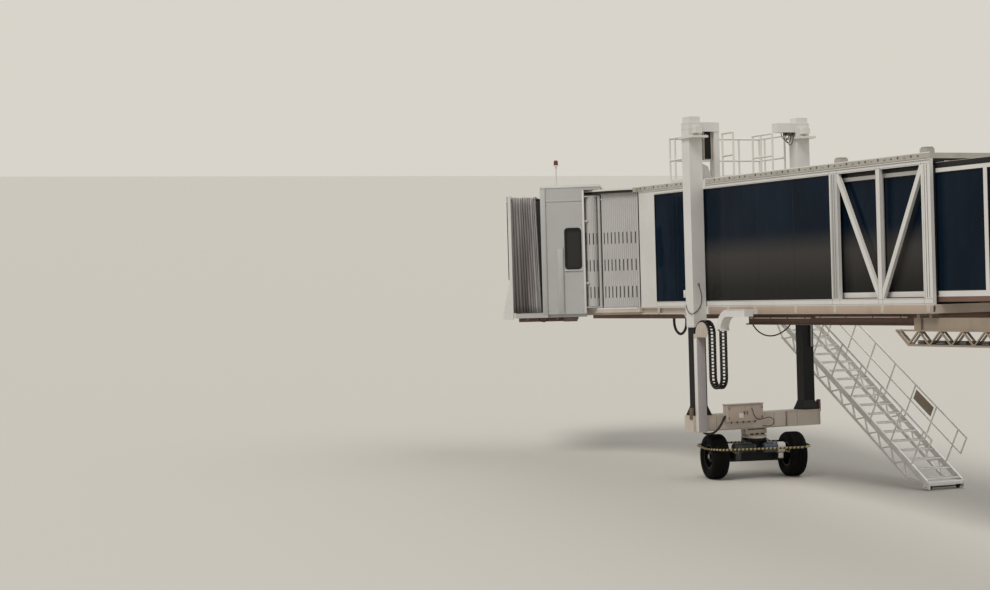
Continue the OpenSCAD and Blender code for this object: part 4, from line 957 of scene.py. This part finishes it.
# Trough's lips and the ends of its brackets
fitting("trough_lips", white_paint, "outer_tunnel",
        [((-2.485, -1.73), (1.7152, 1.721), n, 0.002) for n in ((-0.052, -0.035), (0.095, 0.112))]
        + [(s, (1.48, 1.72), (-0.375, -0.3405), 0.003)
           for s in ((-1.45, -1.405), (-1.303, -1.26))])
# Guide plate inside the arch of the chain: half a disc with ribs over a straight foot
bm = bmesh.new()
disc = bmesh.ops.create_circle(bm, cap_ends=True, segments=64, radius=0.275)["verts"]
bmesh.ops.transform(bm, matrix=Matrix.Translation((-0.566, 1.697, -0.449))
                    @ Matrix.Rotation(radians(90), 4, "X"), verts=disc)
bmesh.ops.bisect_plane(bm, geom=bm.verts[:] + bm.edges[:] + bm.faces[:], plane_co=(0, 0, -0.47),
                       plane_no=(0, 0, -1), clear_outer=True)
push(bm, bm.faces[:], (0, 0.012, 0))
block(bm, (-0.80, -0.3455), (1.697, 1.709), (-0.53, -0.47), 0.002)
for s in steps(-0.76, -0.38, 5):
    block(bm, (s - 0.006, s + 0.006), (1.709, 1.716), (-0.52, -0.32), 0.002)
piece("chain_guide_plate", bm, grey_paint, "carriage")

# Tray under the telescoping joint: round cables, clamps and a grey box
bars = [((-11.25, y, n), (-8.1, y, n), 0.0125, 10)
        for n in (-0.612, -0.582, -0.552) for y in (1.085, 1.111, 1.137)]
bundle = fitting("tray_cables", cable_rubber, "outer_tunnel", (), bars)
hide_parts("tray_chain")
fitting("tray_clamps", zinc_metal, "outer_tunnel",
        [((s, s + 0.025), (1.0705, 1.1295), (-0.632, -0.532), 0.003)
         for s in steps(-11.0, -8.3, 5)])
fitting("tray_end_post", fitting_metal, "outer_tunnel",
        [((-8.30, -8.24), (1.1503, 1.165), (-0.42, -0.10), 0.003)])

# Cross-beam: red-brown end brackets, frame strips, seams, flange bolts and duct covers
BEAM = -0.2002
fitting("beam_end_brackets", brown_steel, "carriage",
        [((-0.19, -0.06), (1.75, 1.778), (-2.3747, -2.20), 0.005),
         ((-0.19, -0.06), (1.765, 1.80), (-2.46, -2.19), 0.005),
         ((-0.19, -0.06), (-1.758, -1.735), (-2.3747, -2.17), 0.005),
         ((-0.19, -0.06), (-1.79, -1.7603), (-2.44, -2.15), 0.005),
         ((-0.2045, BEAM), (-0.80, -0.775), (-2.74, -2.39), 0.0005)])
fitting("beam_frame_strips", grey_paint, "carriage",
        [((-0.212, BEAM), (-1.757, -0.83), n, 0.003) for n in ((-2.40, -2.378), (-2.752, -2.73))]
        + [((-0.212, BEAM), y, (-2.729, -2.401), 0.003)
           for y in ((-0.855, -0.83), (-1.757, -1.732))])
# Twelve bolts round each column, less the left one's three beside the duct
spots = [(s, y) for s in (-0.19, -0.07, 0.07, 0.19) for y in (-0.19, -0.07, 0.07, 0.19)
         if max(abs(s), abs(y)) > 0.1]
fitting("flange_bolts", zinc_metal, "carriage", (),
        [((s, side * 1.5 + y, -2.3451), (s, side * 1.5 + y, -2.327), 0.014, 6)
         for side in BOTH for s, y in spots if side < 0 or s > -0.1 or y < -0.1])
fitting("beam_seams", fitting_metal, "carriage",
        [((-0.2022, BEAM), (y, y + 0.006), (-2.73, -2.39), 0.0005) for y in (-1.1, -0.45, 1.15)]
        + [((-0.2022, BEAM), (-1.7, 1.35), (-2.742, -2.736), 0.0005)])
fitting("duct_side_cover", white_paint, "carriage",
        [((-0.338, -0.207), (1.7102, 1.716), (-2.74, -0.56), 0.003)])
fitting("duct_cover", duct_paint, "carriage",
        [((-0.352, -0.3453), (1.4905, 1.7095), (-2.75, -0.56), 0.003)],
        [((-0.352, y, n), (-0.358, y, n), 0.008, 8) for y in (1.52, 1.68)
         for n in steps(-2.6, -0.7, 6)])

# Control cabinet: doors, hinges, handles, cable glands and a blank plate
fitting("cabinet_doors", door_paint, "carriage",
        [((-0.412, -0.4003), y, (-2.525, -2.175), 0.004) for y in ((0.0, 0.462), (0.478, 0.94))]
        + [((-0.43, -0.18), (-0.035, 0.975), (-2.1548, -2.14), 0.003)])
fitting("cabinet_hardware", fitting_metal, "carriage",
        [((-0.424, -0.412), (y, y + 0.02), (n, n + 0.05), 0.003) for y in (0.004, 0.916)
         for n in (-2.49, -2.26)]
        + [((-0.43, -0.412), (y, y + 0.022), (-2.39, -2.31), 0.004) for y in (0.42, 0.498)],
        [((-0.30, y, -2.545), (-0.30, y, -2.60), 0.018, 10) for y in steps(0.15, 0.8, 5)])
fitting("cabinet_plate", white_paint, "carriage",
        [((-0.4145, -0.412), (0.53, 0.65), (-2.47, -2.36), 0.001)])
# Pale pipe beside the top of the far ram
fitting("ram_pipe", zinc_metal, "outer_tunnel",
        [((-0.20, FRONT), (-1.60, -1.54), (-0.262, -0.24), 0.003)],
        [((-0.19, -1.57, -0.262), (-0.19, -1.57, -0.86), 0.022, 12)])

# Turntable: bolt ring and dark slots
ring = [radians(a) for a in range(0, 360, 20)]
fitting("turntable_bolts", zinc_metal, "pivot", (),
        [((0.27 * cos(a), 0.27 * sin(a), 1.0148), (0.27 * cos(a), 0.27 * sin(a), 1.027), 0.013, 6)
         for a in ring])
fitting("turntable_slots", seal_rubber, "pivot",
        [((-0.1125, -0.1102), (y, y + 0.10), (1.03, 1.066), 0.0005)
         for y in (-0.22, -0.07, 0.08)])

# Bogie: motor fins and terminal boxes, gearboxes, axle plates and bolts
for side, hand, motor, gearbox, wide in ((1, "left", motor_paint, motor_paint, 0.008),
                                         (-1, "right", motor_blue, gearbox_paint, 0.017)):
    fitting("motor_fins_" + hand, motor, "bogie",
            [((-0.37, -0.23), (0.2, 0.34), (0.835, 0.885), 0.006)],
            [((-0.3, y, 0.74), (-0.3, y + wide, 0.74), 0.1165, 32)
             for y in steps(0.13, 0.42, 12)], (side,))
    fitting("gearbox_cover_" + hand, gearbox, "bogie",
            [((-0.378, -0.3703), (0.48, 0.60), (0.49, 0.62), 0.004)],
            [((-0.3, 0.452, 0.74), (-0.3, 0.628, 0.74), 0.1275, 40),
             ((-0.3, 0.6303, 0.74), (-0.3, 0.645, 0.74), 0.118, 32)]
            + [((-0.3 + 0.1 * cos(a), 0.645, 0.74 + 0.1 * sin(a)),
                (-0.3 + 0.1 * cos(a), 0.655, 0.74 + 0.1 * sin(a)), 0.008, 6) for a in ring[::3]],
            (side,))
fitting("axle_plates", black_steel, "bogie",
        [((-0.1165, -0.1102), (0.62, 0.70), (0.41, 0.64), 0.002),
         ((0.1102, 0.1165), (0.30, 0.70), (0.45, 0.60), 0.002)],
        [((-0.1165, 0.66, z), (-0.127, 0.66, z), 0.011, 6) for z in (0.44, 0.52, 0.60)], BOTH)

# Cab: window seal and sill, wall seams and vents
CAB_WALL, CAB_FOOT = 1.4503, -0.0303


def window_seal(side, hand):
    """A round-cornered band round the cab's window, its section taken round each corner."""
    t, n, r, width = (1.93, 2.18), (1.27, 2.14), 0.092, 0.045
    bm = bmesh.new()
    geom = section(bm, [(t[1] + out, side * y, n[1]) for out, y in (
        (r - width, CAB_WALL), (r - width, 1.461), (r, 1.461), (r, CAB_WALL))])
    corners = [Vector((t[i], 0, n[j])) for i, j in ((1, 1), (0, 1), (0, 0), (1, 0))]
    for k, corner in enumerate(corners):
        geom = bmesh.ops.spin(bm, geom=geom, cent=corner, axis=(0, -1, 0), dvec=(0, 0, 0),
                              angle=pi / 2, steps=6)["geom_last"]
        geom = bmesh.ops.extrude_edge_only(bm, edges=only(bmesh.types.BMEdge, geom))["geom"]
        geom = only(bmesh.types.BMVert, geom) + only(bmesh.types.BMEdge, geom)
        bmesh.ops.translate(bm, vec=corners[k - 3] - corner,
                            verts=only(bmesh.types.BMVert, geom))
    bmesh.ops.remove_doubles(bm, verts=bm.verts, dist=0.0002)
    piece("window_seal_" + hand, bm, seal_rubber, "cab")


for side, hand in SIDES:
    window_seal(side, hand)
    fitting("window_sill_" + hand, white_paint, "cab",
            [((1.835, 2.275), (CAB_WALL, 1.478), (1.145, 1.165), 0.003),
             ((1.752, 1.80), (CAB_WALL, 1.460), (0.06, 3.17), 0.003)], (), (side,))
    fitting("cab_wall_trims_" + hand, cab_paint, "cab",
            [((1.752, 2.728), (CAB_WALL, 1.4545), (2.90, 2.945), 0.0015),
             ((2.318, 2.452), (1.4903, 1.496), (0.10, 1.70), 0.003),
             ((2.736, 2.854), (1.4753, 1.481), (0.05, 3.2), 0.003)], (), (side,))
    fitting("cab_wall_lines_" + hand, fitting_metal, "cab",
            [((1.803, 2.725), (CAB_WALL, 1.4515), (2.892, 2.897), 0.0005)]
            + [((t, t + 0.014), (CAB_WALL, 1.458), (n, n + 0.014), 0.002)
               for t in (1.83, 2.70) for n in (0.12, 0.6, 1.7, 2.3, 2.8)], (), (side,))

# Cab roof: edge strips, seams and the beacon on its pole
fitting("cab_roof_trims", white_paint, "cab",
        [((1.34, 2.74), (CAB_WALL, 1.462), (3.25, 3.302), 0.003)], (), BOTH,
        [((1.326, 1.3497), (-1.45, 1.45), (3.24, 3.31), 0.003)])
fitting("cab_roof_seams", roof_paint, "cab",
        [((1.40, 2.70), (y, y + 0.03), (3.3102, 3.325), 0.004)
         for y in (-0.95, -0.3, 0.35, 1.0)])
pole = fitting("beacon_pole", white_paint, "cab", (),
               [((2.48, 0.7, low), (2.48, 0.7, high), r, count) for low, high, r, count in (
                   (3.3103, 3.322, 0.075, 20), (3.322, 3.86, 0.020, 14),
                   (3.845, 3.872, 0.062, 24))])
bm = bmesh.new()
lathe(bm, [(0.001, 3.872), (0.058, 3.872), (0.060, 3.89), (0.054, 3.895), (0.054, 3.905),
           (0.058, 3.91), (0.054, 3.92), (0.054, 3.93), (0.058, 3.935), (0.054, 3.945),
           (0.054, 3.955), (0.056, 3.965), (0.048, 3.985), (0.030, 3.998), (0.001, 4.003)], 32)
piece("beacon_lens", bm, lamp_lens, "cab", CAB @ Matrix.Translation((2.48, 0.7, 0)), sharp=30)

# Below the cab and the bridgehead: lamps, small boxes and floor beams
fitting("cab_lower_fittings", fitting_metal, "cab", (),
        [((t, 1.33, -0.09), (t, 1.33, CAB_FOOT), 0.052, 24) for t in (2.5, 3.25)], BOTH,
        [((2.0, 2.35), (1.28, 1.38), (-0.14, CAB_FOOT), 0.008),
         ((2.42, 2.60), (1.18, 1.32), (-0.055, CAB_FOOT), 0.004)])
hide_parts("cab_fittings")
fitting("lamp_lenses", lamp_lens, "cab", (),
        [((t, 1.33, -0.097), (t, 1.33, -0.0902), 0.043, 24) for t in (2.5, 3.25)], BOTH)
fitting("cab_floor_beams", brown_steel, "cab",
        [((2.10, 3.50), (1.06, 1.20), (-0.13, CAB_FOOT), 0.004)], (), BOTH,
        [((t, t + 0.1), (-1.06, 1.06), (-0.12, CAB_FOOT), 0.004) for t in (2.12, 3.38)])
fitting("bridgehead_beams", brown_steel, "outer_tunnel",
        [((-1.52, 1.55), (0.92, 1.06), (-0.11, -0.0003), 0.004)], (), BOTH,
        [((s, s + 0.09), (-0.92, 0.92), (-0.09, -0.0003), 0.004) for s in (-0.9, 0.1, 1.2)], HEAD)
# Wedge bracket below the white panel, beside the near column
bm = bmesh.new()
web = bm.faces.new([bm.verts.new((s, 1.24, n)) for s, n in (
    (0.62, -0.0003), (1.02, -0.0003), (0.80, -0.16), (0.62, -0.16))])
push(bm, [web], (0, 0.022, 0))
block(bm, (0.62, 1.02), (1.242, 1.2975), (-0.006, -0.0003))
piece("wedge_bracket", bm, white_paint, "outer_tunnel")

# Edge of the bridgehead's round roof and floor: a thin bright lip over a dark band, partly the
# seal there and partly painted shadow under the roof's edge
for name, r, n, high, finish in (("round_roof_lip", 2.083, 3.125, 0.045, white_paint),
                                 ("round_roof_seal_and_shadow", 2.082, 3.062, 0.055, seal_rubber),
                                 ("round_floor_lip", 2.052, 0.14, 0.04, white_paint)):
    # They end where the round meets the tunnel's end, 1.50 m behind its middle
    limit = acos(-1.50 / r)
    ins, out = r - 0.0025, r + 0.005
    bm = bmesh.new()
    lathe(bm, [(ins, n), (out, n), (out, n + high), (ins, n + high)], 96, -limit, 2 * limit)
    piece(name, bm, finish, "outer_tunnel", HEAD, sharp=30)

# Canopy frame: black buffer along its front edge
fitting("canopy_buffer", seal_rubber, "canopy",
        [((3.7003, 3.722), (1.275, 1.385), (0.95, 2.94), 0.01)], (), BOTH,
        [((3.7003, 3.716), (-1.38, 1.38), (2.955, 3.07), 0.006)])

# Stair: bright flange, bottom plates, posts' feet, foot plate and a blank plate
boxes, feet = [], []
for y in STRINGERS:
    boxes += [((-0.05, STAIR_LEN - 0.08), (y - 0.028, y + 0.028), (0.0003, 0.010), 0.003),
              ((0.57, STAIR_LEN - 0.82), (y - 0.022, y + 0.022), (-0.408, -0.4003), 0.002)]
    feet += [((0.58 + 0.93 * k, 0.655 + 0.93 * k), (y + 0.0152, y + 0.021), (-0.09, 0.0), 0.002)
             for k in range(8)]
fitting("stringer_flanges", stair_metal, "stair", boxes)
fitting("post_feet", stair_metal, "stair", feet)
fitting("stair_plate", tray_paint, "stair",
        [((1.63, 2.40), (-3.497, -3.493), (0.57, 0.83), 0.001)])
foot_end = COLUMN_X - 3.70
fitting("foot_plate", stair_metal, "stair",
        [((foot_end, foot_end + 0.26), (-3.4795, -2.5305), (0.175, 0.187), 0.003),
         ((foot_end, foot_end + 0.008), (-3.4795, -2.5305), (0.11, 0.175), 0.002)], place=LEVEL)

# Service door: window, handle, hinges
DOOR = -1.2853
fitting("door_window", tinted_glass, "outer_tunnel",
        [((2.45, 2.83), (-1.289, DOOR), (1.35, 2.05), 0.001)])
fitting("door_window_seal", seal_rubber, "outer_tunnel",
        [((2.42, 2.86), (-1.2945, DOOR), n, 0.003) for n in ((1.32, 1.349), (2.051, 2.08))]
        + [(s, (-1.2945, DOOR), (1.349, 2.051), 0.003) for s in ((2.42, 2.449), (2.831, 2.86))])
fitting("door_hardware", zinc_metal, "outer_tunnel",
        [((2.36, 2.40), (-1.295, DOOR), (1.10, 1.24), 0.003),
         ((2.36, 2.50), (-1.315, -1.30), (1.17, 1.19), 0.004)]
        + [((2.945, 2.965), (-1.297, DOOR), (n, n + 0.10), 0.003) for n in (0.4, 1.2, 2.05)],
        [((2.38, -1.285, 1.18), (2.38, -1.31, 1.18), 0.01, 10)])

# Lobby: anchor nuts, edge and portal strips, roof seams
fitting("anchor_nuts", zinc_metal, "support",
        [((x - 0.05, x + 0.05), (0.57, 0.67), (0.0403, 0.05), 0.002) for x in (-0.62, 0.62)],
        [((x, 0.62, low), (x, 0.62, high), r, count) for x in (-0.62, 0.62)
         for low, high, r, count in ((0.05, 0.078, 0.028, 6), (0.078, 0.105, 0.016, 12))],
        BOTH, place=LEVEL)
fitting("lobby_trims", white_paint, "support",
        [((-2.398, -1.305), (1.2503, 1.262), (2.66, 2.715), 0.003),
         ((-2.398, -1.305), (1.2503, 1.262), (0.005, 0.10), 0.003),
         ((-2.399, -2.36), (1.05, 1.1497), (0.002, 2.46), 0.004)], (), BOTH)
fitting("lobby_roof_seams", roof_paint, "support",
        [((x, x + 0.03), (-1.22, 1.22), (2.8602, 2.876), 0.004) for x in (-2.3, -2.0)])


# Floor, backdrop and light

bm = bmesh.new()
bmesh.ops.create_grid(bm, x_segments=1, y_segments=1, size=2500)
floor = bpy.data.meshes.new("studio_floor")
bm.to_mesh(floor)
bm.free()
ground = bpy.data.objects.new("studio_floor", floor)
bpy.context.scene.collection.objects.link(ground)
pale, tree, shader, _ = fresh("studio_floor_paint")
join(tree, shader, {"Base Color": "#b9b5ac", "Roughness": 0.9})
floor.materials.append(pale)

# The camera, mirrors and glass see a warmer sky than the one that lights the part
world = bpy.data.worlds.new("studio")
bpy.context.scene.world = world
world.use_nodes = True
sky = world.node_tree
straight, glossy, through = (add(sky, "LightPath", {}, "Is %s Ray" % kind)
                             for kind in ("Camera", "Glossy", "Transmission"))
seen = add(sky, "Math", {0: straight, 1: glossy}, operation="MAXIMUM")
seen = add(sky, "Math", {0: seen, 1: through}, operation="MAXIMUM")
soft = sky.nodes["Background"]
join(sky, soft, {"Color": "#dfe3e8", "Strength": 0.62})
shown = add(sky, "Background", {"Color": "#d8d4cb", "Strength": 1.0})
join(sky, sky.nodes["World Output"], {
    "Surface": add(sky, "MixShader", {0: seen, 1: soft.outputs[0], 2: shown})})

for name, energy, spread, colour, heading in (
        ("soft_sun", 1.85, 25, (1.0, 0.965, 0.92), (0.24, -0.50, -0.83)),
        ("soft_fill", 0.9, 50, (1.0, 0.98, 0.95), (0.15, 0.62, -0.77))):
    sun = bpy.data.lights.new(name, "SUN")
    sun.energy = energy
    sun.angle = radians(spread)
    sun.color = colour
    lamp = bpy.data.objects.new(name, sun)
    lamp.rotation_euler = Vector(heading).to_track_quat("-Z", "Y").to_euler()
    bpy.context.scene.collection.objects.link(lamp)

bpy.context.scene.view_settings.view_transform = "Standard"
